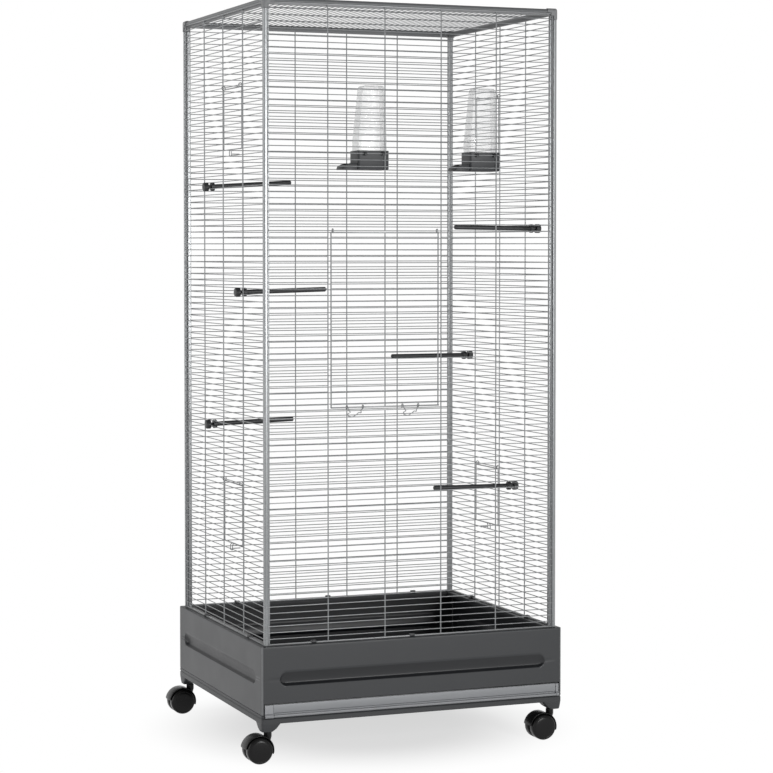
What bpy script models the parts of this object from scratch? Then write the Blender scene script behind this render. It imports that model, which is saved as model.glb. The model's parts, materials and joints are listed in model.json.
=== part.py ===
# Wire aviary: a tall bird cage of bar panels between corner posts, on a sheet steel
# base with a litter drawer and four twin-wheel casters.
# Metres, +Z up. The front faces -Y and the floor is z = 0.

import math

import bmesh
import bpy
from mathutils import Matrix, Vector

# Cage frame
POST_SPAN_X = 0.583          # corner post centres, left to right
POST_SPAN_Y = 0.502          # corner post centres, front to back
TOTAL_HEIGHT = 1.412
POST = 0.0125                # outside of the square corner section
POST_FACE = 0.007            # outer face beside the rebate that a panel seats in
POST_CORNER_RADIUS = 0.003
CONNECTOR_ARM = 0.020        # reach of a corner connector along each post and rail
CONNECTOR_ROUND = 0.004
GAP = 0.0003                 # clearance between pieces that touch

# Bar panels
WIRE = 0.0018                # depth of a bar
ROW_PITCH = 0.012            # bird-safe bar spacing
PANEL_BAR = 0.0025           # edge bar of a panel, seen from the front
PANEL_SETBACK = 0.0005       # panel behind the outer face of the posts
BAR_PROUD = 0.0002           # edge bars stand proud of the bars that they carry
FRONT_BAYS = 5
SIDE_BAYS = 4

# Front door, two bays wide, hung from a bar of the front panel
DOOR_BAYS = (1, 3)           # between these upright bars, counted from the left post
DOOR_SILL_SHARE = 0.36       # height of its sill row, as a share of the panel's rows
DOOR_SILL_GAP = 0.0060       # lowest bar of the door above its sill row
DOOR_ROWS = 28
DOOR_SIDE_GAP = 0.0040
LOOP_RADIUS = 0.0035         # centre line of a hinge loop round its bar
LOOP_WIRE = 0.0009           # radius of the wire in a loop
LOOP_INSET = 0.0040          # loop from the side of its door

# Bent wire latches of the front door
LATCH_WIRE = 0.0009          # radius
LATCH_EYE = 0.0039           # centre line of the eye round the door's lowest bar
LATCH_WIDTH = 0.032          # between the eyes
# Bends of the wire between its eyes, as places across and up from the bar that it turns on
LATCH_BENDS = [
    (-0.0104, -0.0094), (-0.0160, -0.0117), (-0.0146, -0.0160), (-0.0062, -0.0180),
    (0.0022, -0.0133), (0.0064, -0.0094), (0.0114, -0.0109), (0.0108, -0.0065),
]
LATCH_PLACES = {"left": -0.118, "right": -0.006}
LATCH_STAND_OFF = 0.0018     # centre line of the latch in front of the panel's bars

# Small hatches for a nest box or a bath, one bay wide, two on each side
HATCH_BAYS = {"left": (2, 3), "right": (2, 3)}
HATCH_ROWS_ABOVE = 11        # rows of the panel above the upper hatches
HATCH_ROWS_BELOW = 12        # and below the lower ones
HATCH_ROWS = 11
HATCH_PULL_WIDTH = 0.012
HATCH_PULL_DROP = 0.0125
HATCH_PULL_SHOULDER = 0.0035
HATCH_CATCH_REACH = 0.009    # straight end of the pull, inwards over the sill row
HATCH_CATCH_GAP = 0.0012     # between that end and the sill row

# Perches, clamped on a side panel by a nut outside it
PERCH_LENGTH = 0.168         # from the collar face to the tip
PERCH_RADIUS = 0.0047
PERCH_NOSE = 0.0016
PERCH_COLLAR_RADIUS = 0.0085
PERCH_COLLAR_LENGTH = 0.007
PERCH_STUD_RADIUS = 0.0028
PERCH_STUD_LENGTH = 0.014
PERCH_SEAT_GAP = 0.0008      # between the collar or the nut and the bars
NUT_RADIUS = 0.0093
NUT_LENGTH = 0.0125
NUT_CAP = 0.0025             # closed end beyond the bore
NUT_EDGE = 0.0019
NUT_CLEARANCE = 0.0003
# name: side, place along the panel and up it as shares of its size, lift, rake in degrees
PERCHES = {
    "left_top": ("left", -0.1747, 0.714, -0.0018, 3.4),
    "left_middle": ("left", 0.2269, 0.545, -0.0020, 1.5),
    "left_low": ("left", -0.1518, 0.32, -0.0020, 1.9),
    "right_top": ("right", -0.3219, 0.643, 0.0, 0.7),
    "right_middle": ("right", 0.3381, 0.42, 0.0005, 0.0),
    "right_low": ("right", -0.1157, 0.205, -0.0015, 0.5),
}

# Feeders, hung inside the front panel beside the second and the fourth upright bar
FEEDER_BAYS = {"left": 2, "right": 4}
FEEDER_ROWS_ABOVE = 22       # rows of the panel above the bar that a trough hooks over
FEEDER_WIDTH = 0.062
FEEDER_DEPTH = 0.045
FEEDER_HEIGHT = 0.036
FEEDER_WALL = 0.0020
FEEDER_PAST_UPRIGHT = 0.009  # how far the trough reaches to the right of its upright bar
FEEDER_HOOK_DROP = 0.006     # hook bar above the trough's rim, downwards
LIP_LENGTH = 0.030
LIP_HEIGHT = 0.0126
LIP_WIDTH = 0.036
LIP_END_HEIGHT = 0.0076      # where the steep end of the lip meets its slope
LIP_END_RUN = 0.0034
LIP_SLOPE = 0.013            # length of the slope behind that
HOOK_WIDTH = 0.005
HOOK_THICKNESS = 0.0016
HOOK_REACH_DOWN = 0.0065
HOOK_SPACING = 0.036
TOWER_HEIGHT = 0.122         # above the trough's rim
TOWER_WALL = 0.0015
TOWER_SHOULDER = 0.019       # straight part above the trough's rim
TOWER_TAPER = 0.010          # how much narrower the top is, on the lip side
TOWER_BACK_TAPER = 0.003     # and on the other side
TOWER_DEPTH_TAPER = 0.006
TOWER_SOCKET = 0.018         # how deep the tower stands in the trough
TOWER_ROUND = 0.006
CUT_STEP = 0.0002            # keeps two pockets of the trough from sharing a floor

# Sheet steel base
BASE_OVERHANG = 0.01475      # outer face beyond the post centres
BASE_TOP = 0.217
BASE_WALL = 0.0020
BASE_FLANGE = 0.024          # top flange that the posts stand on
BASE_LIP = 0.010             # lip turned down at the flange's inner edge
BASE_ROUND = 0.004           # outer upright edges
SKIRT_BOTTOM = 0.090
SLOT_TOP = 0.111             # lower edge of the front wall, above the drawer
RIB_HEIGHT = 0.020
RIB_DEPTH = 0.003
RIB_CENTRE = 0.163
RIB_INSET = 0.038            # end of a rib from the corner of the base

# Bottom frame with the feet that hold the casters
FRAME_BOTTOM = 0.073
FRAME_LEDGE = 0.0845         # the drawer slides on this face
FRAME_WIDTH = 0.032
FRAME_RIM = 0.0045           # rim round the ledge at the sides and the back
FOOT_BOTTOM = 0.058
FOOT_TOP_SIZE = 0.038
FOOT_BOTTOM_SIZE = 0.027
FOOT_CORNER_DRAFT = 0.002    # foot drawn in at the outer corner

# Litter drawer
TRAY_WALL = 0.0020
TRAY_HEIGHT = 0.0235
TRAY_SIDE_GAP = 0.0020
TRAY_ROUND = 0.010
TRAY_BACK_GAP = 0.004
DRAWER_FRONT_HEIGHT = 0.024
DRAWER_FRONT_THICKNESS = 0.006
DRAWER_LIP_REACH = 0.0045    # finger lip in front of the face
DRAWER_LIP_HEIGHT = 0.006
DRAWER_EDGE = 0.0018
DRAWER_END_GAP = 0.0015

# Casters
CASTER_INSET = 0.017         # stem centre in from both outer faces of the base
CASTER_TRAIL = 0.020         # axle behind the stem
WHEEL_RADIUS = 0.025
WHEEL_WIDTH = 0.0180
WHEEL_SIDES = 16
WHEEL_EDGE = 0.0025
WHEEL_GAP = 0.0012           # between a wheel and the hood's fender
WEB_THICKNESS = 0.007        # middle of the hood, between the wheels
WEB_RADIUS = 0.019
WEB_GAP = 0.0004
FENDER_THICKNESS = 0.0020
FENDER_WIDTH = 0.032
FENDER_START = -16           # degrees above the axle, on the stem's side
FENDER_END = 172
FENDER_STEPS = 8
AXLE_RADIUS = 0.0040
AXLE_REACH = 0.012           # axle stub beyond the web
AXLE_CLEARANCE = 0.0003
BOSS_RADIUS = 0.0075
BOSS_BOTTOM = 0.036
BOSS_TOP = 0.0547
STEM_RADIUS = 0.0040
STEM_CLEARANCE = 0.0003
STEM_BOTTOM = 0.0466
STEM_SOCKET = 0.014          # stem inside the foot
STEM_COLLAR_RADIUS = 0.0080
STEM_COLLAR_HEIGHT = 0.0024

# Values that follow
HALF_X = POST_SPAN_X / 2 + BASE_OVERHANG
HALF_Y = POST_SPAN_Y / 2 + BASE_OVERHANG
POST_OUT = POST / 2          # outer face of a post from its centre
WIRE_Y = PANEL_SETBACK + BAR_PROUD
UPRIGHT_Y = WIRE_Y + WIRE + GAP
PANEL_BACK = UPRIGHT_Y + WIRE + BAR_PROUD
HINGE_Y = (WIRE_Y + UPRIGHT_Y + WIRE / 2) / 2
PANEL_BOTTOM = BASE_TOP + GAP
PANEL_HEIGHT = TOTAL_HEIGHT - POST_FACE - GAP - PANEL_BOTTOM
ROW_COUNT = round(PANEL_HEIGHT / ROW_PITCH) - 1
FIRST_ROW = (PANEL_HEIGHT - (ROW_COUNT - 1) * ROW_PITCH) / 2
DOOR_SILL_ROW = round(DOOR_SILL_SHARE * ROW_COUNT)
HATCH_SILL_ROWS = {
    "upper": ROW_COUNT - 1 - HATCH_ROWS_ABOVE - HATCH_ROWS,
    "lower": HATCH_ROWS_BELOW,
}
FEEDER_ROW = ROW_COUNT - 1 - FEEDER_ROWS_ABOVE
AXLE_HEIGHT = WHEEL_RADIUS * math.cos(math.pi / WHEEL_SIDES)
STEM_X = HALF_X - CASTER_INSET
STEM_Y = HALF_Y - CASTER_INSET
NUT_OUTSIDE = POST_SPAN_X / 2 + POST_OUT - WIRE_Y + PERCH_SEAT_GAP + NUT_LENGTH
FENDER_INNER = WHEEL_RADIUS + WHEEL_GAP
FENDER_OUTER = FENDER_INNER + FENDER_THICKNESS
HOOD_OUTSIDE = STEM_X + CASTER_TRAIL + FENDER_OUTER * math.cos(math.radians(180 - FENDER_END))
# The casters trail to the left, so the base stands to the right of the middle.
BASE_SHIFT = (HOOD_OUTSIDE - max(HALF_X, NUT_OUTSIDE)) / 2

SILVER = ("silver_paint", (0.30, 0.31, 0.32), 0.38, 0.55)
WIRE_GREY = ("wire_paint", (0.26, 0.27, 0.28), 0.42, 0.55)
ANTHRACITE = ("anthracite_paint", (0.062, 0.066, 0.071), 0.45, 0.35)
FRAME_GREY = ("frame_paint", (0.050, 0.053, 0.056), 0.50, 0.30)
TRAY_BLACK = ("tray_plastic", (0.018, 0.019, 0.021), 0.55, 0.0)
DRAWER_SILVER = ("drawer_silver", (0.27, 0.28, 0.29), 0.40, 0.40)
CONNECTOR_GREY = ("connector_plastic", (0.20, 0.21, 0.22), 0.45, 0.0)
PERCH_BLACK = ("perch_plastic", (0.030, 0.032, 0.034), 0.50, 0.0)
FEEDER_GREY = ("feeder_plastic", (0.085, 0.090, 0.095), 0.45, 0.0)
FEEDER_CLEAR = ("clear_plastic", (0.85, 0.88, 0.90), 0.10, 0.0)
CASTER_BLACK = ("caster_plastic", (0.014, 0.014, 0.015), 0.32, 0.0)
STEM_STEEL = ("stem_steel", (0.45, 0.45, 0.46), 0.30, 1.0)

CORNERS = {
    "front_left": (-1, -1),
    "front_right": (1, -1),
    "back_right": (1, 1),
    "back_left": (-1, 1),
}
# Turn of each side about Z, with the front as it is drawn
TURNS = {"front": 0, "right": 90, "back": 180, "left": 270}


def clear_scene():
    for obj in list(bpy.data.objects):
        bpy.data.objects.remove(obj, do_unlink=True)


def new_collection(name):
    collection = bpy.data.collections.new(name)
    bpy.context.scene.collection.children.link(collection)
    return collection


def material_for(finish):
    name, colour, roughness, metallic = finish
    material = bpy.data.materials.get(name)
    if material is None:
        material = bpy.data.materials.new(name)
        material.use_nodes = True
        shader = material.node_tree.nodes["Principled BSDF"]
        shader.inputs["Base Color"].default_value = (*colour, 1.0)
        shader.inputs["Roughness"].default_value = roughness
        shader.inputs["Metallic"].default_value = metallic
        if finish is FEEDER_CLEAR:
            shader.inputs["Transmission Weight"].default_value = 1.0
        material.diffuse_color = (*colour, 1.0)
    return material


clear_scene()
parts = new_collection("aviary")
cutters = new_collection("cutters")
cutters.hide_render = True
root = bpy.data.objects.new("aviary_root", None)
root.location = (BASE_SHIFT, 0, 0)
parts.objects.link(root)


# Meshes from primitives, outlines and turned profiles

def mesh_from(bm, name):
    mesh = bpy.data.meshes.new(name)
    bm.to_mesh(mesh)
    bm.free()
    return mesh


def add_box(bm, x, y, z):
    """Adds a box between the given pairs of limits and returns its vertices."""
    size = Vector((x[1] - x[0], y[1] - y[0], z[1] - z[0]))
    centre = Vector((x[0] + x[1], y[0] + y[1], z[0] + z[1])) / 2
    matrix = Matrix.Translation(centre) @ Matrix.Diagonal((*size, 1))
    return bmesh.ops.create_cube(bm, size=1.0, matrix=matrix)["verts"]


def boxes(name, limits):
    bm = bmesh.new()
    for x, y, z in limits:
        add_box(bm, x, y, z)
    return mesh_from(bm, name)


def add_bar(bm, x, front, z):
    """Adds a three-sided bar along X, flat in front, as deep as a wire."""
    radius = WIRE / 1.5
    turn = Matrix.Rotation(math.pi / 2, 4, "Y")
    place = Matrix.Translation(((x[0] + x[1]) / 2, front + radius / 2, z))
    bmesh.ops.create_cone(
        bm, cap_ends=True, segments=3, radius1=radius, radius2=radius,
        depth=x[1] - x[0], matrix=place @ turn,
    )


def cylinder(name, radius, low, high, sides=24, matrix=Matrix()):
    bm = bmesh.new()
    place = matrix @ Matrix.Translation((0, 0, (low + high) / 2))
    bmesh.ops.create_cone(
        bm, cap_ends=True, segments=sides, radius1=radius, radius2=radius,
        depth=high - low, matrix=place,
    )
    return mesh_from(bm, name)


def evaluated_mesh(obj):
    """The mesh of an object with its modifiers applied; the object is removed."""
    graph = bpy.context.evaluated_depsgraph_get()
    mesh = bpy.data.meshes.new_from_object(obj.evaluated_get(graph))
    bpy.data.objects.remove(obj, do_unlink=True)
    return mesh


def working_object(name, data):
    obj = bpy.data.objects.new(name, data)
    cutters.objects.link(obj)
    return obj


def extruded(name, outline, length):
    """A flat outline extruded along Z, centred on z = 0."""
    curve = bpy.data.curves.new(name, "CURVE")
    curve.dimensions = "2D"
    curve.fill_mode = "BOTH"
    curve.extrude = length / 2
    spline = curve.splines.new("POLY")
    spline.points.add(len(outline) - 1)
    for point, (x, y) in zip(spline.points, outline):
        point.co = (x, y, 0, 1)
    spline.use_cyclic_u = True
    mesh = evaluated_mesh(working_object(name, curve))
    bm = bmesh.new()
    bm.from_mesh(mesh)
    bmesh.ops.remove_doubles(bm, verts=bm.verts, dist=0.00001)
    bmesh.ops.recalc_face_normals(bm, faces=bm.faces)
    return mesh_from(bm, name)


def bent_wire(name, points, radius, resolution=1):
    """A round wire along straight runs, with closed ends."""
    curve = bpy.data.curves.new(name, "CURVE")
    curve.dimensions = "3D"
    curve.bevel_depth = radius
    curve.bevel_resolution = resolution
    curve.use_fill_caps = True
    spline = curve.splines.new("POLY")
    spline.points.add(len(points) - 1)
    for point, place in zip(spline.points, points):
        point.co = (*place, 1)
    mesh = evaluated_mesh(working_object(name, curve))
    bm = bmesh.new()
    bm.from_mesh(mesh)
    bmesh.ops.remove_doubles(bm, verts=bm.verts, dist=0.00001)
    bmesh.ops.recalc_face_normals(bm, faces=bm.faces)
    return mesh_from(bm, name)


def turned(name, profile, sides):
    """A profile of (radius, height), from the top down its outer side, turned about Z."""
    mesh = bpy.data.meshes.new(name)
    edges = [(i, i + 1) for i in range(len(profile) - 1)]
    mesh.from_pydata([(radius, 0, height) for radius, height in profile], edges, [])
    obj = working_object(name, mesh)
    screw = obj.modifiers.new("Turn", "SCREW")
    screw.steps = sides
    screw.render_steps = sides
    screw.use_merge_vertices = True
    screw.merge_threshold = 0.00001
    result = evaluated_mesh(obj)
    result.shade_smooth()
    result.set_sharp_from_angle(angle=math.radians(35))
    return result


def combined(name, first, others, operation):
    """Joins or cuts one mesh with others, in turn, and returns the result."""
    base = working_object(name, first)
    tools = [working_object(name + "_tool", other) for other in others]
    for tool in tools:
        step = base.modifiers.new(operation.title(), "BOOLEAN")
        step.operation = operation
        step.object = tool
    bpy.context.view_layer.update()
    mesh = evaluated_mesh(base)
    for tool in tools:
        bpy.data.objects.remove(tool, do_unlink=True)
    return mesh


def joined(name, first, *others):
    return combined(name, first, others, "UNION")


def cut(name, first, *others):
    return combined(name, first, others, "DIFFERENCE")


def add_part(name, mesh, finish, matrix=Matrix()):
    """Puts a mesh in the aviary as a named sub-part, at a place given from the base's centre."""
    if not mesh.materials:
        mesh.materials.append(material_for(finish))
    obj = bpy.data.objects.new(name, mesh)
    parts.objects.link(obj)
    obj.parent = root
    obj.location = matrix.to_translation()
    obj.rotation_euler = matrix.to_euler()
    return obj


def rounded_box(name, x, y, z, radius, steps):
    """A box whose upright edges are rounded."""
    bm = bmesh.new()
    add_box(bm, x, y, z)
    upright = [edge for edge in bm.edges if edge.verts[0].co.xy == edge.verts[1].co.xy]
    bmesh.ops.bevel(bm, geom=upright, offset=radius, segments=steps, profile=0.5, affect="EDGES")
    return mesh_from(bm, name)


def moved(mesh, offset):
    mesh.transform(Matrix.Translation(offset))
    return mesh


def side_matrix(side):
    """Panel coordinates of a side: X to the right seen from outside, Y inwards, Z up.

    The origin is at the middle of the panel's lower edge, on the outer face of the posts.
    """
    span = POST_SPAN_Y if side in ("front", "back") else POST_SPAN_X
    turn = Matrix.Rotation(math.radians(TURNS[side]), 4, "Z")
    return turn @ Matrix.Translation((0, -span / 2 - POST_OUT, PANEL_BOTTOM))


def row_height(row):
    return FIRST_ROW + row * ROW_PITCH


def upright_places(span, bays):
    """Upright bars that split the clear width between two posts into equal bays."""
    clear = span - POST
    return [-clear / 2 + clear * bay / bays for bay in range(1, bays)]


# Corner section: a square with a rounded outer corner and a rebate on either side of it

def corner_outline():
    radius = POST_CORNER_RADIUS
    rebate = POST - POST_FACE
    arc_steps = 3
    outline = []
    for step in range(arc_steps + 1):
        angle = math.pi * (1.5 - 0.5 * step / arc_steps)
        outline.append((radius + radius * math.cos(angle), radius + radius * math.sin(angle)))
    outline += [
        (0, POST_FACE), (rebate, POST_FACE), (rebate, POST), (POST, POST),
        (POST, rebate), (POST_FACE, rebate), (POST_FACE, 0),
    ]
    return outline


def make_posts():
    low = BASE_TOP + GAP
    high = TOTAL_HEIGHT - CONNECTOR_ARM - GAP
    mesh = extruded("corner_post", corner_outline(), high - low)
    turns = {"front_left": 0, "front_right": 90, "back_right": 180, "back_left": 270}
    for corner, (side_x, side_y) in CORNERS.items():
        place = Vector((
            side_x * (POST_SPAN_X / 2 + POST_OUT),
            side_y * (POST_SPAN_Y / 2 + POST_OUT),
            (low + high) / 2,
        ))
        turn = Matrix.Rotation(math.radians(turns[corner]), 4, "Z")
        add_part("post_" + corner, mesh, SILVER, Matrix.Translation(place) @ turn)


def make_top_rails():
    # The section's two inward directions turn to inwards and downwards, its length to the side.
    lay = Matrix(((0, 0, -1, 0), (1, 0, 0, 0), (0, -1, 0, 0), (0, 0, 0, 1)))
    for side, degrees in TURNS.items():
        across = side in ("front", "back")
        span = POST_SPAN_X if across else POST_SPAN_Y
        depth = POST_SPAN_Y if across else POST_SPAN_X
        length = span + POST - 2 * (CONNECTOR_ARM + GAP)
        mesh = extruded("top_rail_" + side, corner_outline(), length)
        turn = Matrix.Rotation(math.radians(degrees), 4, "Z")
        place = Matrix.Translation((0, -depth / 2 - POST_OUT, TOTAL_HEIGHT))
        add_part("top_rail_" + side, mesh, SILVER, turn @ place @ lay)


def connector_mesh():
    """Three arms from one corner at the origin, along +X, +Y and down."""
    arm = CONNECTOR_ARM
    body = boxes("connector", [((0, arm), (0, POST), (-POST, 0))])
    along_y = boxes("connector_y", [((0, POST), (0, arm), (-POST, 0))])
    down = boxes("connector_z", [((0, POST), (0, POST), (-arm, 0))])
    body = joined("connector", body, along_y, down)
    bm = bmesh.new()
    size = 3 * arm
    add_box(bm, (0, size), (0, size), (-size, 0))
    near = [
        edge for edge in bm.edges
        if sum(all(abs(v.co[axis]) < GAP for v in edge.verts) for axis in range(3)) == 2
    ]
    bmesh.ops.bevel(
        bm, geom=near, offset=CONNECTOR_ROUND, segments=2, profile=0.5, affect="EDGES"
    )
    rounded = combined("connector", body, [mesh_from(bm, "connector_round")], "INTERSECT")
    rebate = POST - POST_FACE
    far = 2 * arm
    pockets = [
        boxes("pocket", [limits]) for limits in (
            ((POST_FACE, far), (-arm, rebate), (-far, -POST_FACE)),
            ((-arm, rebate), (POST_FACE, far), (-far, -POST_FACE)),
            ((POST_FACE, far), (POST_FACE, far), (-rebate, arm)),
        )
    ]
    return cut("corner_connector", rounded, *pockets)


def make_connectors():
    mesh = connector_mesh()
    turns = {"front_left": 0, "front_right": 90, "back_right": 180, "back_left": 270}
    for corner, (side_x, side_y) in CORNERS.items():
        place = Vector((
            side_x * (POST_SPAN_X / 2 + POST_OUT),
            side_y * (POST_SPAN_Y / 2 + POST_OUT),
            TOTAL_HEIGHT,
        ))
        turn = Matrix.Rotation(math.radians(turns[corner]), 4, "Z")
        add_part("corner_connector_" + corner, mesh, CONNECTOR_GREY, Matrix.Translation(place) @ turn)


# Bar panels: horizontal bars in front, upright bars behind them, edge bars round both

def bar_grid(name, half_width, height, rows, uprights, openings=()):
    """One welded grid in panel coordinates.

    An opening is (left, right, sill row, lintel row). Its two framing rows are deep enough
    to hold the upright bars too, and the rows between them stop at its jambs.
    """
    bar = PANEL_BAR
    depth = (PANEL_SETBACK, PANEL_BACK)
    stile_depth = (PANEL_SETBACK + BAR_PROUD / 2, PANEL_BACK - BAR_PROUD / 2)
    upright_depth = (UPRIGHT_Y, UPRIGHT_Y + WIRE)
    framing_depth = (WIRE_Y, UPRIGHT_Y + WIRE / 2)
    jamb_depth = (WIRE_Y - BAR_PROUD / 2, WIRE_Y + WIRE + BAR_PROUD / 2)
    inner_z = (bar / 2, height - bar / 2)

    def beside(x):
        return (x - WIRE / 2, x + WIRE / 2)

    upright_boxes = []
    for sign in (-1, 1):
        outer = sign * (half_width - BAR_PROUD)
        inner = sign * (half_width - bar)
        upright_boxes.append((tuple(sorted((outer, inner))), stile_depth, inner_z))
    for x in uprights:
        breaks = [o for o in openings if o[0] < x - WIRE < x + WIRE < o[1]]
        ends = [inner_z[0]]
        for _, _, sill, lintel in sorted(breaks, key=lambda o: o[2]):
            ends += [rows[sill], rows[lintel]]
        ends.append(inner_z[1])
        for low, high in zip(ends[::2], ends[1::2]):
            upright_boxes.append((beside(x), upright_depth, (low, high)))
    for left, right, sill, lintel in openings:
        for x in (left, right):
            upright_boxes.append((beside(x), jamb_depth, (rows[sill], rows[lintel])))

    across_boxes = [
        ((-half_width, half_width), depth, (0, bar)),
        ((-half_width, half_width), depth, (height - bar, height)),
    ]
    end = half_width - bar / 2
    framing = {row for opening in openings for row in opening[2:]}
    bm = bmesh.new()
    for index, z in enumerate(rows):
        gap = next((o for o in openings if o[2] < index < o[3]), None)
        if index in framing:
            across_boxes.append(((-end, end), framing_depth, (z - WIRE / 2, z + WIRE / 2)))
        elif gap:
            add_bar(bm, (-end, gap[0]), WIRE_Y, z)
            add_bar(bm, (gap[1], end), WIRE_Y, z)
        else:
            add_bar(bm, (-end, end), WIRE_Y, z)
    for x, y, z in across_boxes:
        add_box(bm, x, y, z)
    return joined(name, mesh_from(bm, name), boxes(name + "_up", upright_boxes))


def panel_rows():
    return [row_height(row) for row in range(ROW_COUNT)]


def half_panel(span):
    return span / 2 + POST_OUT - POST_FACE - GAP


def make_panels():
    front_uprights = upright_places(POST_SPAN_X, FRONT_BAYS)
    side_uprights = upright_places(POST_SPAN_Y, SIDE_BAYS)
    rows = panel_rows()
    left, right = (front_uprights[bay - 1] for bay in DOOR_BAYS)
    door = (left, right, DOOR_SILL_ROW, DOOR_SILL_ROW + DOOR_ROWS)
    grids = {
        "front": (POST_SPAN_X, front_uprights, [door]),
        "back": (POST_SPAN_X, front_uprights, []),
    }
    for side, bays in HATCH_BAYS.items():
        left, right = (side_uprights[bay - 1] for bay in bays)
        hatches = [(left, right, sill, sill + HATCH_ROWS) for sill in HATCH_SILL_ROWS.values()]
        grids[side] = (POST_SPAN_Y, side_uprights, hatches)
    for side, (span, uprights, openings) in grids.items():
        mesh = bar_grid("panel_" + side, half_panel(span), PANEL_HEIGHT, rows, uprights, openings)
        add_part("panel_" + side, mesh, WIRE_GREY, side_matrix(side))


def make_top_panel():
    """The roof's bars run from front to back, carried by three bars across."""
    length = 2 * half_panel(POST_SPAN_X)
    count = round(length / ROW_PITCH) - 1
    first = (length - (count - 1) * ROW_PITCH) / 2
    rows = [first + row * ROW_PITCH for row in range(count)]
    uprights = upright_places(POST_SPAN_Y, SIDE_BAYS)
    mesh = bar_grid("panel_top", half_panel(POST_SPAN_Y), length, rows, uprights)
    # Along a bar is the cage's Y, inwards is down, and up the panel is to the left.
    lay = Matrix(((0, 0, -1, length / 2), (1, 0, 0, 0), (0, -1, 0, TOTAL_HEIGHT), (0, 0, 0, 1)))
    add_part("panel_top", mesh, WIRE_GREY, lay)


# Doors

def hinge_loops(name, half_width, centre_z):
    """Two rings round the bar that the door hangs from."""
    rings = bmesh.new()
    steps = 6
    for sign in (-1, 1):
        place = Matrix.Translation((sign * (half_width - LOOP_INSET), HINGE_Y, centre_z))
        turn = Matrix.Rotation(math.pi / 2, 4, "Y")
        circle = bmesh.ops.create_circle(
            rings, segments=3, radius=LOOP_WIRE,
            matrix=place @ turn @ Matrix.Translation((LOOP_RADIUS, 0, 0))
            @ Matrix.Rotation(math.pi / 2, 4, "X"),
        )
        edges = list({edge for vert in circle["verts"] for edge in vert.link_edges})
        bmesh.ops.spin(
            rings, geom=circle["verts"] + edges, cent=place.to_translation(),
            axis=(1, 0, 0), angle=2 * math.pi, steps=steps, use_merge=True,
        )
    bmesh.ops.remove_doubles(rings, verts=rings.verts, dist=0.00001)
    bmesh.ops.recalc_face_normals(rings, faces=rings.faces)
    return mesh_from(rings, name)


def door_grid(name, left, right, rows, sill, lintel, uprights, sill_gap):
    """A door for the opening between two jambs, drawn from its hinge line.

    Returns its mesh and the place of its hinge line in panel coordinates.
    """
    half_width = (right - left - WIRE) / 2 - DOOR_SIDE_GAP
    centre = (left + right) / 2
    low = rows[sill] + sill_gap - PANEL_BAR / 2
    high = rows[lintel] - LOOP_RADIUS + PANEL_BAR / 2
    inner_rows = [row - low for row in rows[sill + 1:lintel] if row > low + PANEL_BAR]
    mesh = bar_grid(name, half_width, high - low, inner_rows, [x - centre for x in uprights])
    hinge = Vector((centre, HINGE_Y, rows[lintel]))
    mesh = joined(name, mesh, hinge_loops(name + "_loops", half_width, rows[lintel] - low))
    return moved(mesh, (0, -HINGE_Y, low - rows[lintel])), hinge


def make_front_door():
    uprights = upright_places(POST_SPAN_X, FRONT_BAYS)
    left, right = (uprights[bay - 1] for bay in DOOR_BAYS)
    within = [x for x in uprights if left < x < right]
    rows = panel_rows()
    lintel = DOOR_SILL_ROW + DOOR_ROWS
    mesh, hinge = door_grid(
        "front_door", left, right, rows, DOOR_SILL_ROW, lintel, within, DOOR_SILL_GAP,
    )
    add_part("front_door", mesh, WIRE_GREY, side_matrix("front") @ Matrix.Translation(hinge))


def latch_mesh():
    """A bent wire with an eye at either end, drawn from the bar that it turns on."""
    bar_y = (PANEL_SETBACK + PANEL_BACK) / 2
    front = WIRE_Y - LATCH_STAND_OFF - bar_y
    steps = 5
    start, end = math.radians(-60), math.radians(180)
    eye = []
    for step in range(steps + 1):
        angle = start + (end - start) * step / steps
        eye.append((LATCH_EYE * math.cos(angle), LATCH_EYE * math.sin(angle)))
    half = LATCH_WIDTH / 2
    path = [(-half, y, z) for y, z in eye]
    path += [(x, front, z) for x, z in LATCH_BENDS]
    path += [(half, y, z) for y, z in reversed(eye)]
    return bent_wire("door_latch", path, LATCH_WIRE, 0)


def make_latches():
    mesh = latch_mesh()
    bar_y = (PANEL_SETBACK + PANEL_BACK) / 2
    bar_z = row_height(DOOR_SILL_ROW) + DOOR_SILL_GAP
    for side, x in LATCH_PLACES.items():
        place = side_matrix("front") @ Matrix.Translation((x, bar_y, bar_z))
        add_part("door_latch_" + side, mesh, WIRE_GREY, place)


def make_hatches():
    uprights = upright_places(POST_SPAN_Y, SIDE_BAYS)
    rows = panel_rows()
    for side, bays in HATCH_BAYS.items():
        left, right = (uprights[bay - 1] for bay in bays)
        for level, sill in HATCH_SILL_ROWS.items():
            name = "hatch_" + side + "_" + level
            lintel = sill + HATCH_ROWS
            mesh, hinge = door_grid(name, left, right, rows, sill, lintel, [], ROW_PITCH)
            bar_y = PANEL_SETBACK + PANEL_BAR / 2 - HINGE_Y
            sill_z = rows[sill] - rows[lintel]
            bar_z = sill_z + ROW_PITCH
            front = WIRE_Y - LATCH_STAND_OFF - HINGE_Y
            half = HATCH_PULL_WIDTH / 2
            low = bar_z - HATCH_PULL_DROP
            pull = bent_wire(name + "_pull", [
                (-half, bar_y, bar_z),
                (-half, front, bar_z - HATCH_PULL_SHOULDER),
                (-half, front, low),
                (half, front, low),
                (half, front, bar_z - HATCH_PULL_SHOULDER),
                (half, bar_y, bar_z),
            ], LOOP_WIRE, 0)
            catch_z = sill_z + WIRE / 2 + HATCH_CATCH_GAP + LOOP_WIRE
            catch = bent_wire(name + "_catch", [
                (half, front, catch_z), (half, HATCH_CATCH_REACH, catch_z),
            ], LOOP_WIRE, 0)
            mesh = joined(name, mesh, pull, catch)
            add_part(name, mesh, WIRE_GREY, side_matrix(side) @ Matrix.Translation(hinge))


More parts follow.
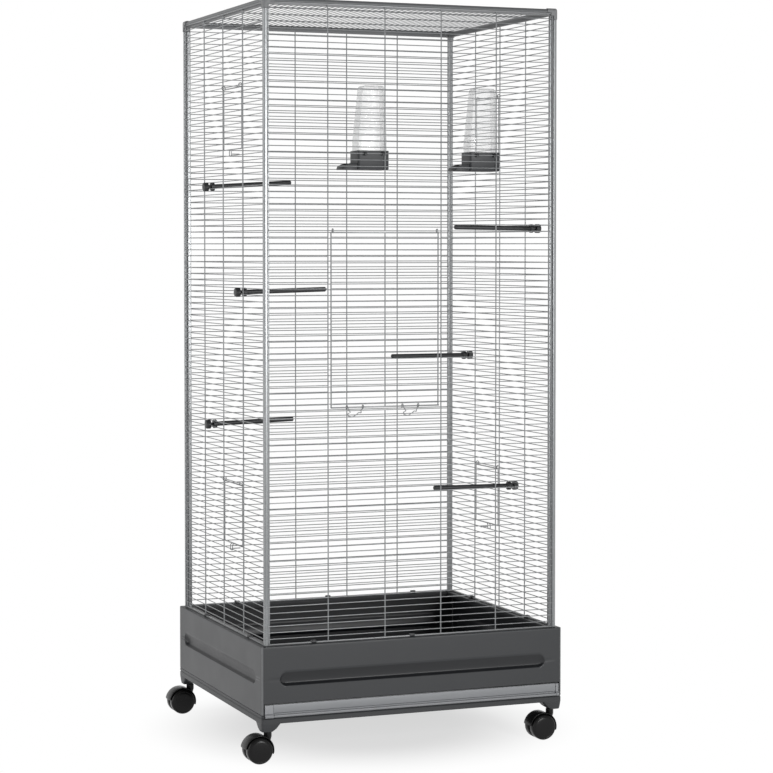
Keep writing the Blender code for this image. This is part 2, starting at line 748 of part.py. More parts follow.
# Perches and their nuts, drawn along Z with the tip up and the collar face at z = 0

def perch_mesh():
    return turned("perch", [
        (0, PERCH_LENGTH),
        (PERCH_RADIUS - PERCH_NOSE, PERCH_LENGTH),
        (PERCH_RADIUS, PERCH_LENGTH - PERCH_NOSE),
        (PERCH_RADIUS, PERCH_COLLAR_LENGTH),
        (PERCH_COLLAR_RADIUS, PERCH_COLLAR_LENGTH),
        (PERCH_COLLAR_RADIUS, 0),
        (PERCH_STUD_RADIUS, 0),
        (PERCH_STUD_RADIUS, -PERCH_STUD_LENGTH),
        (0, -PERCH_STUD_LENGTH),
    ], 8)


def nut_mesh():
    """A cap nut with its open face at z = 0, standing downwards."""
    bore = PERCH_STUD_RADIUS + NUT_CLEARANCE
    depth = NUT_LENGTH - NUT_CAP
    return turned("perch_nut", [
        (0, -depth), (bore, -depth), (bore, 0), (NUT_RADIUS, 0),
        (NUT_RADIUS, -NUT_LENGTH + NUT_EDGE), (NUT_RADIUS - NUT_EDGE, -NUT_LENGTH),
        (0, -NUT_LENGTH),
    ], 8)


def make_perches():
    perch = perch_mesh()
    nut = nut_mesh()
    inwards = Matrix.Rotation(-math.pi / 2, 4, "X")
    for name, (side, along, up, lift, rake) in PERCHES.items():
        height = row_height(round(up * ROW_COUNT)) + ROW_PITCH / 2 + lift
        tilt = Matrix.Rotation(math.radians(rake), 4, "X")
        middle = (WIRE_Y + PANEL_BACK) / 2
        seat = Matrix.Translation((along * POST_SPAN_Y, middle, height))
        place = side_matrix(side) @ seat @ tilt @ inwards
        inside = PANEL_BACK - middle + PERCH_SEAT_GAP
        outside = middle - WIRE_Y + PERCH_SEAT_GAP
        add_part("perch_" + name, perch, PERCH_BLACK, place @ Matrix.Translation((0, 0, inside)))
        add_part("perch_nut_" + name, nut, PERCH_BLACK, place @ Matrix.Translation((0, 0, -outside)))


# Feeders, drawn in panel coordinates from the middle of the trough's back, at its bottom

def trough_mesh():
    wall = FEEDER_WALL
    half = FEEDER_WIDTH / 2
    depth = FEEDER_DEPTH
    end = -half - LIP_LENGTH
    lip_y = (depth / 2 - LIP_WIDTH / 2, depth / 2 + LIP_WIDTH / 2)
    body = boxes("trough", [((-half, half), (0, depth), (0, FEEDER_HEIGHT))])
    lip = extruded("trough_lip", [
        (end, 0), (-half + wall / 2, 0), (-half + wall / 2, LIP_HEIGHT),
        (end + LIP_END_RUN + LIP_SLOPE, LIP_HEIGHT), (end + LIP_END_RUN, LIP_END_HEIGHT),
    ], LIP_WIDTH)
    # The outline's up turns to Z and its thickness lies along Y.
    stand = Matrix(((1, 0, 0, 0), (0, 0, -1, depth / 2), (0, 1, 0, 0), (0, 0, 0, 1)))
    lip.transform(stand)
    hooks = []
    hook_top = FEEDER_HEIGHT - FEEDER_HOOK_DROP + WIRE / 2 + GAP + HOOK_THICKNESS
    reach = -PANEL_BACK + WIRE_Y - GAP - GAP
    for x in (-HOOK_SPACING / 2, HOOK_SPACING / 2):
        sides = (x - HOOK_WIDTH / 2, x + HOOK_WIDTH / 2)
        arm_z = (hook_top - HOOK_THICKNESS, hook_top)
        hooks.append(boxes("hook", [(sides, (reach - HOOK_THICKNESS, wall / 2), arm_z)]))
        hooks.append(boxes("hook", [(
            (sides[0] + GAP, sides[1] - GAP),
            (reach - HOOK_THICKNESS + GAP / 3, reach - GAP / 3),
            (hook_top - HOOK_REACH_DOWN, hook_top - HOOK_THICKNESS / 2),
        )]))
    body = joined("feeder_trough", body, lip, *hooks)
    inside = boxes("trough_inside", [
        ((-half + wall, half - wall), (wall, depth - wall), (wall, FEEDER_HEIGHT * 2)),
    ])
    floor = wall + CUT_STEP
    open_end = end + LIP_END_RUN + wall
    lip_inside = (lip_y[0] + wall, lip_y[1] - wall)
    mouth = boxes("trough_mouth", [((open_end, 0), lip_inside, (floor, LIP_HEIGHT - wall))])
    lip_top = boxes("trough_lip_top", [
        ((open_end, -half - GAP), lip_inside, (floor + CUT_STEP, LIP_HEIGHT * 2)),
    ])
    return cut("feeder_trough", body, inside, mouth, lip_top)


def tower_mesh():
    """A clear shell with an open bottom, drawn in towards the top above a straight part."""
    clear = FEEDER_WALL + GAP
    half = FEEDER_WIDTH / 2 - clear
    y = (clear, FEEDER_DEPTH - clear)
    low = FEEDER_HEIGHT - TOWER_SOCKET
    high = FEEDER_HEIGHT + TOWER_HEIGHT
    bm = bmesh.new()
    add_box(bm, (-half, half), y, (low, high))
    bottom = [face for face in bm.faces if face.normal.z < -0.9]
    bmesh.ops.delete(bm, geom=bottom, context="FACES")
    edges = [edge for edge in bm.edges if len(edge.link_faces) == 2]
    bmesh.ops.bevel(bm, geom=edges, offset=TOWER_ROUND, segments=2, profile=0.5, affect="EDGES")
    shoulder = FEEDER_HEIGHT + TOWER_SHOULDER
    bmesh.ops.bisect_plane(
        bm, geom=bm.verts[:] + bm.edges[:] + bm.faces[:],
        plane_co=(0, 0, shoulder), plane_no=(0, 0, 1),
    )
    for vert in bm.verts:
        rise = max(0, vert.co.z - shoulder) / (high - shoulder)
        vert.co.x += rise * (TOWER_TAPER if vert.co.x < 0 else -TOWER_BACK_TAPER)
        vert.co.y += rise * TOWER_DEPTH_TAPER / 2 * (1 if vert.co.y < FEEDER_DEPTH / 2 else -1)
    obj = working_object("feeder_reservoir", mesh_from(bm, "feeder_reservoir"))
    shell = obj.modifiers.new("Wall", "SOLIDIFY")
    shell.thickness = TOWER_WALL
    shell.offset = -1
    shell.use_even_offset = True
    mesh = evaluated_mesh(obj)
    mesh.shade_smooth()
    mesh.set_sharp_from_angle(angle=math.radians(35))
    return mesh


def make_feeders():
    trough = trough_mesh()
    tower = tower_mesh()
    uprights = upright_places(POST_SPAN_X, FRONT_BAYS)
    hook_bar = FEEDER_HEIGHT - FEEDER_HOOK_DROP
    for side, bay in FEEDER_BAYS.items():
        x = uprights[bay - 1] + FEEDER_PAST_UPRIGHT - FEEDER_WIDTH / 2
        z = row_height(FEEDER_ROW) - hook_bar
        place = side_matrix("front") @ Matrix.Translation((x, PANEL_BACK + GAP, z))
        add_part("feeder_trough_" + side, trough, FEEDER_GREY, place)
        add_part("feeder_reservoir_" + side, tower, FEEDER_CLEAR, place)


# Base

def stadium(length, height, steps=4):
    """Outline of a bar with round ends, centred on the origin."""
    radius = height / 2
    points = []
    for sign, start in ((1, -90), (-1, 90)):
        for step in range(steps + 1):
            angle = math.radians(start + 180 * step / steps)
            points.append((
                sign * (length / 2 - radius) + radius * math.cos(angle),
                radius * math.sin(angle),
            ))
    return points


def rib_bars(name, extra, depth_range):
    """One bar with round ends for each side's rib, from depth_range behind the outer face."""
    result = []
    for side, degrees in TURNS.items():
        across = side in ("front", "back")
        half = HALF_X if across else HALF_Y
        out = HALF_Y if across else HALF_X
        outline = stadium(2 * (half - RIB_INSET) + 2 * extra, RIB_HEIGHT + 2 * extra)
        thickness = depth_range[1] - depth_range[0]
        bar = extruded(name, outline, thickness)
        stand = Matrix(((1, 0, 0, 0), (0, 0, -1, 0), (0, 1, 0, 0), (0, 0, 0, 1)))
        place = Matrix.Translation((0, -out + sum(depth_range) / 2, RIB_CENTRE))
        bar.transform(Matrix.Rotation(math.radians(degrees), 4, "Z") @ place @ stand)
        result.append(bar)
    return result


def make_skirt():
    wall = BASE_WALL
    x, y = HALF_X, HALF_Y
    outer = rounded_box("base_skirt", (-x, x), (-y, y), (SKIRT_BOTTOM, BASE_TOP), BASE_ROUND, 3)
    inside = rounded_box(
        "skirt_inside", (-x + wall, x - wall), (-y + wall, y - wall),
        (SKIRT_BOTTOM - wall, BASE_TOP - wall), BASE_ROUND - wall, 2,
    )
    lip_x, lip_y = x - BASE_FLANGE, y - BASE_FLANGE
    window = boxes("skirt_window", [((-lip_x, lip_x), (-lip_y, lip_y), (0, TOTAL_HEIGHT))])
    skirt = cut("base_skirt", outer, inside, window)
    lip_outer = boxes("skirt_lip", [(
        (-lip_x - wall, lip_x + wall), (-lip_y - wall, lip_y + wall),
        (BASE_TOP - BASE_LIP, BASE_TOP - wall / 2),
    )])
    lip_window = boxes("lip_window", [((-lip_x, lip_x), (-lip_y, lip_y), (0, TOTAL_HEIGHT))])
    lip = cut("skirt_lip", lip_outer, lip_window)
    skirt = joined("base_skirt", skirt, lip, *rib_bars("rib_back", wall, (wall / 2, wall + RIB_DEPTH)))
    slot = boxes("drawer_slot", [(
        (-x + FRAME_RIM, x - FRAME_RIM), (-y - wall, -y + 2 * wall), (0, SLOT_TOP),
    )])
    skirt = cut("base_skirt", skirt, *rib_bars("rib", 0, (-RIB_DEPTH, RIB_DEPTH)), slot)
    add_part("base_skirt", skirt, ANTHRACITE)


def foot_mesh(side_x, side_y):
    """A pad under one corner, narrower towards its foot."""
    top = (-FOOT_TOP_SIZE, 0)
    foot = rounded_box("foot", top, top, (FOOT_BOTTOM, FRAME_BOTTOM + GAP), BASE_ROUND, 2)
    bm = bmesh.new()
    bm.from_mesh(foot)
    for vert in bm.verts:
        if vert.co.z < (FOOT_BOTTOM + FRAME_BOTTOM) / 2:
            vert.co.xy *= FOOT_BOTTOM_SIZE / FOOT_TOP_SIZE
            vert.co.xy -= Vector((FOOT_CORNER_DRAFT, FOOT_CORNER_DRAFT))
        vert.co.x = side_x * (vert.co.x + HALF_X - GAP)
        vert.co.y = side_y * (vert.co.y + HALF_Y - GAP)
    bmesh.ops.recalc_face_normals(bm, faces=bm.faces)
    return mesh_from(bm, "foot")


def make_bottom_frame():
    x, y = HALF_X, HALF_Y
    top = SKIRT_BOTTOM - GAP
    ring = rounded_box("bottom_frame", (-x, x), (-y, y), (FRAME_BOTTOM, top), BASE_ROUND, 2)
    feet = [foot_mesh(*signs) for signs in CORNERS.values()]
    ring = joined("bottom_frame", ring, *feet)
    rim = FRAME_RIM
    pocket = boxes("frame_pocket", [
        ((-x + rim, x - rim), (-y - rim, y - rim), (FRAME_LEDGE, BASE_TOP)),
    ])
    inner_x, inner_y = x - FRAME_WIDTH, y - FRAME_WIDTH
    window = boxes("frame_window", [((-inner_x, inner_x), (-inner_y, inner_y), (0, BASE_TOP))])
    sockets = [
        cylinder(
            "stem_socket", STEM_RADIUS + STEM_CLEARANCE, 0, FOOT_BOTTOM + STEM_SOCKET + GAP, 8,
            Matrix.Translation((side_x * STEM_X, side_y * STEM_Y, 0)),
        )
        for side_x, side_y in CORNERS.values()
    ]
    frame = cut("bottom_frame", ring, pocket, window, *sockets)
    add_part("bottom_frame", frame, FRAME_GREY)


def make_drawer():
    half = HALF_X - FRAME_RIM - TRAY_SIDE_GAP
    front = -HALF_Y + DRAWER_FRONT_THICKNESS
    back = HALF_Y - FRAME_RIM - TRAY_BACK_GAP
    low = FRAME_LEDGE + GAP
    bm = bmesh.new()
    z = (low, low + TRAY_HEIGHT)
    bm.from_mesh(rounded_box("tray", (-half, half), (front + GAP, back), z, TRAY_ROUND, 3))
    top = [face for face in bm.faces if face.normal.z > 0.9]
    bmesh.ops.delete(bm, geom=top, context="FACES")
    obj = working_object("drawer_tray", mesh_from(bm, "drawer_tray"))
    shell = obj.modifiers.new("Wall", "SOLIDIFY")
    shell.thickness = TRAY_WALL
    shell.offset = -1
    shell.use_even_offset = True
    add_part("drawer_tray", evaluated_mesh(obj), TRAY_BLACK)

    # Section of the front strip: flat face above a finger lip, drawn as (forwards, up)
    height = DRAWER_FRONT_HEIGHT
    lip, reach = DRAWER_LIP_HEIGHT, DRAWER_LIP_REACH
    thick = DRAWER_FRONT_THICKNESS
    section = [
        (0, 0), (thick + reach, 0), (thick + reach, lip / 2), (thick, lip),
        (thick, height - DRAWER_EDGE), (thick - DRAWER_EDGE, height), (0, height),
    ]
    length = 2 * (HALF_X - FRAME_RIM - DRAWER_END_GAP)
    strip = extruded("drawer_front", section, length)
    # The section's forwards turns to -Y, its up stays up and its length lies along X.
    lay = Matrix(((0, 0, -1, 0), (-1, 0, 0, front), (0, 1, 0, low), (0, 0, 0, 1)))
    add_part("drawer_front", strip, DRAWER_SILVER, lay)


# Casters, drawn from the stem's axis at floor height, with the axle towards -X

def hood_mesh():
    lie = Matrix.Translation((-CASTER_TRAIL, 0, AXLE_HEIGHT)) @ Matrix.Rotation(math.pi / 2, 4, "X")
    inner, outer = FENDER_INNER, FENDER_OUTER
    angles = [
        math.radians(FENDER_START + (FENDER_END - FENDER_START) * step / FENDER_STEPS)
        for step in range(FENDER_STEPS + 1)
    ]
    outline = [(outer * math.cos(a), outer * math.sin(a)) for a in angles]
    outline += [(inner * math.cos(a), inner * math.sin(a)) for a in reversed(angles)]
    fender = extruded("fender", outline, FENDER_WIDTH)
    middle = (inner + outer) / 2
    web_outline = [(middle * math.cos(a), middle * math.sin(a)) for a in angles[1:-1]]
    open_angle = 360 + FENDER_START - FENDER_END
    web_steps = 4
    for step in range(web_steps):
        angle = math.radians(FENDER_END + open_angle * (step + 0.5) / web_steps)
        web_outline.append((WEB_RADIUS * math.cos(angle), WEB_RADIUS * math.sin(angle)))
    web = extruded("web", web_outline, WEB_THICKNESS)
    axle_end = WEB_THICKNESS / 2 + AXLE_REACH
    axle = cylinder("axle", AXLE_RADIUS, -axle_end, axle_end, 8)
    for piece in (fender, web, axle):
        piece.transform(lie)
    boss = cylinder("boss", BOSS_RADIUS, BOSS_BOTTOM, BOSS_TOP, 10)
    space_sides = 12
    space = inner / math.cos(math.pi / space_sides)
    clearances = []
    for sign in (-1, 1):
        near = sign * (WEB_THICKNESS - WEB_GAP) / 2
        far = sign * (WEB_THICKNESS / 2 + 2 * WHEEL_WIDTH)
        low, high = sorted((near, far))
        clearances.append(cylinder("wheel_space", space, low, high, space_sides, lie))
    socket = cylinder("stem_bore", STEM_RADIUS + STEM_CLEARANCE, STEM_BOTTOM - GAP, BOSS_TOP * 2, 8)
    boss = cut("boss", boss, *clearances)
    hood = joined("caster_hood", fender, web, boss, axle)
    return cut("caster_hood", hood, socket)


def wheel_mesh():
    """A wheel with its outer face up and a blind bore for the axle stub below."""
    width, edge, radius = WHEEL_WIDTH, WHEEL_EDGE, WHEEL_RADIUS
    bore = AXLE_RADIUS + AXLE_CLEARANCE
    depth = AXLE_REACH + AXLE_CLEARANCE
    mesh = turned("caster_wheel", [
        (0, width), (radius - edge, width - edge / 3), (radius, width - edge), (radius, 0),
        (bore, 0), (bore, depth), (0, depth),
    ], WHEEL_SIDES)
    # A flat facet of the tread faces down.
    mesh.transform(Matrix.Rotation(math.pi / WHEEL_SIDES, 4, "Z"))
    return mesh


def make_casters():
    hood = hood_mesh()
    wheel = wheel_mesh()
    collar_low = BOSS_TOP + GAP
    stem = turned("caster_stem", [
        (0, FOOT_BOTTOM + STEM_SOCKET),
        (STEM_RADIUS, FOOT_BOTTOM + STEM_SOCKET),
        (STEM_RADIUS, collar_low + STEM_COLLAR_HEIGHT),
        (STEM_COLLAR_RADIUS, collar_low + STEM_COLLAR_HEIGHT),
        (STEM_COLLAR_RADIUS, collar_low),
        (STEM_RADIUS, collar_low),
        (STEM_RADIUS, STEM_BOTTOM),
        (0, STEM_BOTTOM),
    ], 8)
    for corner, (side_x, side_y) in CORNERS.items():
        place = Matrix.Translation((side_x * STEM_X, side_y * STEM_Y, 0))
        add_part("caster_stem_" + corner, stem, STEM_STEEL, place)
        add_part("caster_hood_" + corner, hood, CASTER_BLACK, place)
        axle = place @ Matrix.Translation((-CASTER_TRAIL, 0, AXLE_HEIGHT))
        for end, sign in (("front", -1), ("back", 1)):
            turn = Matrix.Rotation(-sign * math.pi / 2, 4, "X")
            inner = Matrix.Translation((0, sign * (WEB_THICKNESS / 2 + WEB_GAP), 0))
            name = "caster_wheel_" + corner + "_" + end
            add_part(name, wheel, CASTER_BLACK, axle @ inner @ turn)


make_skirt()
make_bottom_frame()
make_drawer()
make_posts()
make_top_rails()
make_connectors()
make_panels()
make_top_panel()
make_front_door()
make_latches()
make_hatches()
make_perches()
make_feeders()
make_casters()
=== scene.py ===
# Looks of the wire aviary
# Metres, +Z up, the front faces -Y and the floor is z = 0

import json
from math import cos, floor, pi, radians, sin, sqrt, tan, tau

import bmesh
import bpy
from mathutils import Matrix, Vector

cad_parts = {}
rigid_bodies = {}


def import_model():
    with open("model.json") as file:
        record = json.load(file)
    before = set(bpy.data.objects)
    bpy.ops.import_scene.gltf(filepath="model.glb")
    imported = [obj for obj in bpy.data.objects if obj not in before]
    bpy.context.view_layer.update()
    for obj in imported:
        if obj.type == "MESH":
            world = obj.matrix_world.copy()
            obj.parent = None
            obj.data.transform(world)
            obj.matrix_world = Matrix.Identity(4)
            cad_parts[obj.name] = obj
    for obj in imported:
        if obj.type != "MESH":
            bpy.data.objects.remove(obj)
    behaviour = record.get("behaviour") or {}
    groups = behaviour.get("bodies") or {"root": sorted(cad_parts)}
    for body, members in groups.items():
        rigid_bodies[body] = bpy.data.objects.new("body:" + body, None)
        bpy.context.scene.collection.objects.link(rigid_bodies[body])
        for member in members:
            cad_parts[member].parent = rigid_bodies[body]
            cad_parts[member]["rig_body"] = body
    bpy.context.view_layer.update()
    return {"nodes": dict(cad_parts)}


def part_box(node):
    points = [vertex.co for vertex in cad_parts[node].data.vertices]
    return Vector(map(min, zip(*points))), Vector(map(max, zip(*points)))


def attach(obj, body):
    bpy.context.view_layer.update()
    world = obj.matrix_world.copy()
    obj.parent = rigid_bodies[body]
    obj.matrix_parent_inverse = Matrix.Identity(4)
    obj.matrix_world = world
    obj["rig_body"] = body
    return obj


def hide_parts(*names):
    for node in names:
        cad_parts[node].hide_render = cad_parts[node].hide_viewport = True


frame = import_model()

baseLow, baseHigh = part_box("base_skirt")
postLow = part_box("post_front_left")[0]
middle = Vector(((baseLow.x + baseHigh.x) / 2, (baseLow.y + baseHigh.y) / 2, 0))
shift = Matrix.Translation
cage = shift(middle)
postHalfX = middle.x - postLow.x  # outer faces of the corner posts
postHalfY = middle.y - postLow.y
baseHalfX = middle.x - baseLow.x
baseHalfY = middle.y - baseLow.y
baseTop = baseHigh.z
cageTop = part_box("top_rail_front")[1].z
cornerSigns = {
    "front_left": (-1, -1), "front_right": (1, -1), "back_right": (1, 1), "back_left": (-1, 1),
}
cornerTurns = dict(zip(cornerSigns, (0, 90, 180, 270)))
sideTurns = {"front": 0, "right": 90, "back": 180, "left": 270}


def spin(degrees, axis="Z"):
    return Matrix.Rotation(radians(degrees), 4, axis)


def pick(look, names):
    return [look[name] for name in names.split()]


def link(name, data):
    made = bpy.data.objects.new(name, data)
    scene.collection.objects.link(made)
    return made


scene = bpy.context.scene
scene.view_settings.view_transform = "Standard"

view = {  # from the middle of the cage, in metres and degrees
    "place": (-1.6464, -4.2728, 0.9541), "dip": 2.1, "turn": -21.613,
    "lens": 107.23, "shiftY": -0.0709,
}


def makeCamera():
    data = bpy.data.cameras.new("photo_camera")
    data.lens = view["lens"]
    data.shift_y = view["shiftY"]
    camera = link("photo_camera", data)
    camera.location = middle + Vector(view["place"])
    camera.rotation_euler = (radians(90 - view["dip"]), 0, radians(view["turn"]))
    scene.camera = camera


makeCamera()
print("camera placed")


# Node sockets used as numbers

def maths(operation, reflected=False):
    def apply(self, other):
        first, second = (other, self) if reflected else (self, other)
        return self.graph.node("Math", {"operation": operation}, {0: first, 1: second})
    return apply


class Signal:
    def __init__(self, graph, socket):
        self.graph = graph
        self.socket = socket

    __add__ = maths("ADD")
    __radd__ = maths("ADD", True)
    __sub__ = maths("SUBTRACT")
    __rsub__ = maths("SUBTRACT", True)
    __mul__ = maths("MULTIPLY")
    __rmul__ = maths("MULTIPLY", True)
    __gt__ = maths("GREATER_THAN")
    __lt__ = maths("LESS_THAN")


class Graph:
    def __init__(self, tree):
        self.tree = tree

    def feed(self, socket, value):
        if isinstance(value, Signal):
            self.tree.links.new(value.socket, socket)
        elif isinstance(value, tuple) and socket.type == "RGBA" and len(value) == 3:
            socket.default_value = (*value, 1)
        else:
            socket.default_value = value

    def node(self, kind, settings, values, output=0):
        made = self.tree.nodes.new("ShaderNode" + kind)
        for name, value in settings.items():
            setattr(made, name, value)
        for name, value in values.items():
            self.feed(made.inputs[name], value)
        return Signal(self, made.outputs[output])

    def fade(self, value, start, end, first=0.0, last=1.0):  # a soft step between two levels
        values = dict(enumerate((value, start, end, first, last)))
        return self.node("MapRange", {"interpolation_type": "SMOOTHSTEP"}, values)

    def seesBackground(self):  # 1 for rays that should find white
        rays = ("Is Camera Ray", "Is Glossy Ray", "Is Transmission Ray")
        camera, glossy, through = (self.node("LightPath", {}, {}, ray) for ray in rays)
        return camera + glossy + through > 0.5


class Finish(Graph):
    def __init__(self, name, **constants):
        self.material = bpy.data.materials.new(name)
        self.material.use_nodes = True
        Graph.__init__(self, self.material.node_tree)
        self.shader = self.tree.nodes["Principled BSDF"]
        self.set(**constants)

    def set(self, **values):
        for name, value in values.items():
            self.feed(self.shader.inputs[name.replace("_", " ")], value)

    def place(self):
        return self.node("TexCoord", {}, {}, "Object")

    def axis(self, name):
        return self.node("SeparateXYZ", {}, {"Vector": self.place()}, name)

    def noise(self, scale, detail=2.0, roughness=0.5, stretch=None):
        where = self.place()
        if stretch:
            where = self.node("Mapping", {}, {"Vector": where, "Scale": stretch})
        values = {"Vector": where, "Scale": scale, "Detail": detail, "Roughness": roughness}
        return self.node("TexNoise", {}, values)

    def tint(self, amount, first, second):
        settings = {"data_type": "RGBA", "blend_type": "MIX"}
        return self.node("Mix", settings, {0: amount, 6: first, 7: second}, 2)

    def relief(self, height, distance, strength=1.0):
        values = {"Height": height, "Distance": distance, "Strength": strength}
        self.set(Normal=self.node("Bump", {}, values))


# Finishes

smooth = {"uneven": 0.05, "grain": 1300, "relief": 0.00002}
coarse = {"metal": 0.0, "uneven": 0.12, "grain": 700, "relief": 0.00007}
powderCoats = {
    "silver_paint": {
        "colours": ((0.245, 0.254, 0.262), (0.29, 0.3, 0.305)),
        "metal": 0.35, "roughness": 0.27, **smooth,
    },
    # painted shade: the top rails take a darker copy of the posts' silver paint
    "shaded_rail_paint": {
        "colours": ((0.145, 0.15, 0.155), (0.17, 0.175, 0.18)),
        "metal": 0.1, "roughness": 0.42, **smooth, "uneven": 0.06,
    },
    "wire_paint": {
        "colours": ((0.25, 0.258, 0.266), (0.3, 0.308, 0.314)), "metal": 0.2,
        "roughness": 0.36, "uneven": 0.14, "grain": 1400, "relief": 0.00004,
    },
    "anthracite_paint": {
        "colours": ((0.025, 0.027, 0.03), (0.03, 0.032, 0.035)),
        "roughness": 0.42, **coarse,
    },
    "frame_paint": {
        "colours": ((0.026, 0.027, 0.03), (0.03, 0.032, 0.035)),
        "roughness": 0.48, **coarse,
    },
    "drawer_paint": {
        "colours": ((0.26, 0.268, 0.282), (0.3, 0.308, 0.32)), "metal": 0.1,
        "roughness": 0.42, "uneven": 0.1, "grain": 900, "relief": 0.00005,
    },
}
speckle = {"finer": 3, "level": 0.66, "strength": 0.35, "brighter": 1.25}
# Painted shade in the base's pressed ribs and a painted highlight on its upright corners
pressing = {
    "rib": (0.008, 0.009, 0.011), "ribDepths": (0.0003, 0.0016), "belowTop": 0.004,
    "corner": (0.2, 0.204, 0.21), "cornerReach": (0.0045, 0.0012),
}


def offMiddle(finish, axis):  # distance from the cage's middle plane
    along = finish.axis(axis) - getattr(middle, axis.lower())
    return finish.node("Math", {"operation": "ABSOLUTE"}, {0: along})


def ribShadeMask(finish):  # 1 in the base's pressed ribs, where shade is painted in darker
    inX, inY = baseHalfX - offMiddle(finish, "X"), baseHalfY - offMiddle(finish, "Y")
    depth = finish.node("Math", {"operation": "MINIMUM"}, {0: inX, 1: inY})
    below = baseTop - pressing["belowTop"] > finish.axis("Z")
    return finish.fade(depth, *pressing["ribDepths"]) * below


def cornerHighlightMask(finish):  # 1 on the base's upright corners, where a highlight is painted in lighter
    start, end = pressing["cornerReach"]
    nearX = finish.fade(offMiddle(finish, "X"), baseHalfX - start, baseHalfX - end)
    nearY = finish.fade(offMiddle(finish, "Y"), baseHalfY - start, baseHalfY - end)
    return nearX * nearY


def powderCoat(name, look):  # fine orange peel and a slightly uneven sheen
    finish = Finish(name + "_coat", Metallic=look["metal"])
    cloud = finish.noise(14, 3)
    grain = finish.noise(look["grain"], 3, 0.6)
    speck = finish.noise(look["grain"] * speckle["finer"], 1) > speckle["level"]
    shade = cloud * 0.7 + grain * 0.3
    colour = finish.tint(shade, *look["colours"])
    bright = tuple(part * speckle["brighter"] for part in look["colours"][1])
    colour = finish.tint(speck * speckle["strength"], colour, bright)
    if name == "anthracite_paint":
        # painted shade: the ribs' recesses drawn darker
        colour = finish.tint(ribShadeMask(finish), colour, pressing["rib"])
        # painted highlight along the rounded corners
        colour = finish.tint(cornerHighlightMask(finish), colour, pressing["corner"])
    finish.set(Base_Color=colour)
    finish.set(Roughness=look["roughness"] + (cloud + grain - 1) * look["uneven"])
    finish.relief(grain, look["relief"])
    return finish


mouldedPlastics = {
    "connector_plastic": {
        "colours": ((0.2, 0.205, 0.21), (0.235, 0.24, 0.245)),
        "roughness": 0.42, "grain": 1100, "relief": 0.00005,
    },
    "perch_plastic": {
        "colours": ((0.022, 0.023, 0.025), (0.03, 0.032, 0.034)),
        "roughness": 0.46, "grain": 650, "relief": 0.00009,
    },
    "feeder_plastic": {
        "colours": ((0.028, 0.03, 0.033), (0.036, 0.038, 0.041)),
        "roughness": 0.42, "specular": 0.32, "grain": 1500, "relief": 0.00003,
    },
    "tray_plastic": {
        "colours": ((0.015, 0.016, 0.018), (0.02, 0.022, 0.024)),
        "roughness": 0.5, "specular": 0.4, "grain": 800, "relief": 0.00006,
    },
    "clip_plastic": {
        "colours": ((0.03, 0.032, 0.034), (0.04, 0.042, 0.045)),
        "roughness": 0.4, "grain": 900, "relief": 0.00004,
    },
    "caster_plastic": {
        "colours": ((0.006, 0.006, 0.0065), (0.01, 0.0095, 0.0095)),
        "roughness": 0.26, "specular": 0.2, "grain": 1200, "relief": 0.00002,
    },
}


def mouldedPlastic(name, look):  # spark-eroded mould grain, duller in its hollows
    finish = Finish(name + "_moulding", Specular_IOR_Level=look.get("specular", 0.5))
    flow = finish.noise(22, 2)
    grain = finish.noise(look["grain"], 2, 0.55)
    finish.set(Base_Color=finish.tint(flow * 0.6 + grain * 0.4, *look["colours"]))
    finish.set(Roughness=look["roughness"] + (1 - grain) * 0.1 - flow * 0.06)
    finish.relief(grain, look["relief"])
    return finish


clearLook = {
    "colour": (0.95, 0.96, 0.965), "roughness": 0.1, "coat": 0.4, "coatRoughness": 0.05,
    "alpha": (0.1, 0.6), "edge": (0.15, 0.9), "blend": 0.35, "ripple": 0.0004,
}


def clearPlastic(look):  # milky where the eye skims along its walls, with a painted sheen there standing in for the reflections on its rounded edges
    finish = Finish("clear_plastic_moulding", Base_Color=look["colour"])
    finish.set(Coat_Roughness=look["coatRoughness"])
    flow = finish.noise(18, 2, 0.5, (1, 1, 0.25))
    # painted sheen: the white walls turn opaque where seen edge-on
    skim = finish.node("LayerWeight", {}, {"Blend": look["blend"]}, "Facing")
    alpha = finish.fade(skim + flow * 0.12, *look["edge"], *look["alpha"])
    finish.set(Alpha=alpha, Roughness=look["roughness"] + flow * 0.05)
    finish.set(Coat_Weight=look["coat"] + flow * 0.2)
    finish.relief(flow, look["ripple"], 0.25)
    return finish


steelLook = {
    "colours": ((0.4, 0.4, 0.42), (0.52, 0.52, 0.53)), "roughness": 0.26, "marks": 0.00003,
}


def platedSteel(look):  # zinc plating with turning marks round the stem
    finish = Finish("stem_steel_plating", Metallic=1.0)
    rings = finish.noise(60, 2, 0.5, (1, 1, 40))
    spangle = finish.noise(240, 2)
    finish.set(Base_Color=finish.tint(spangle, *look["colours"]))
    finish.set(Roughness=look["roughness"] + rings * 0.14)
    finish.relief(rings, look["marks"])
    return finish


finishes = {name: powderCoat(name, look) for name, look in powderCoats.items()}
finishes.update({name: mouldedPlastic(name, look) for name, look in mouldedPlastics.items()})
finishes["clear_plastic"] = clearPlastic(clearLook)
finishes["stem_steel"] = platedSteel(steelLook)
print("finishes mixed")


# Shapes

def circle(radius, sides):
    turns = [tau * side / sides for side in range(sides)]
    return [Vector((radius * cos(turn), radius * sin(turn), 0)) for turn in turns]


def arc(centre, radius, start, end, steps):  # points in a plane, angles in degrees
    angles = [radians(start + (end - start) * step / steps) for step in range(steps + 1)]
    return [(centre[0] + radius * cos(a), centre[1] + radius * sin(a)) for a in angles]


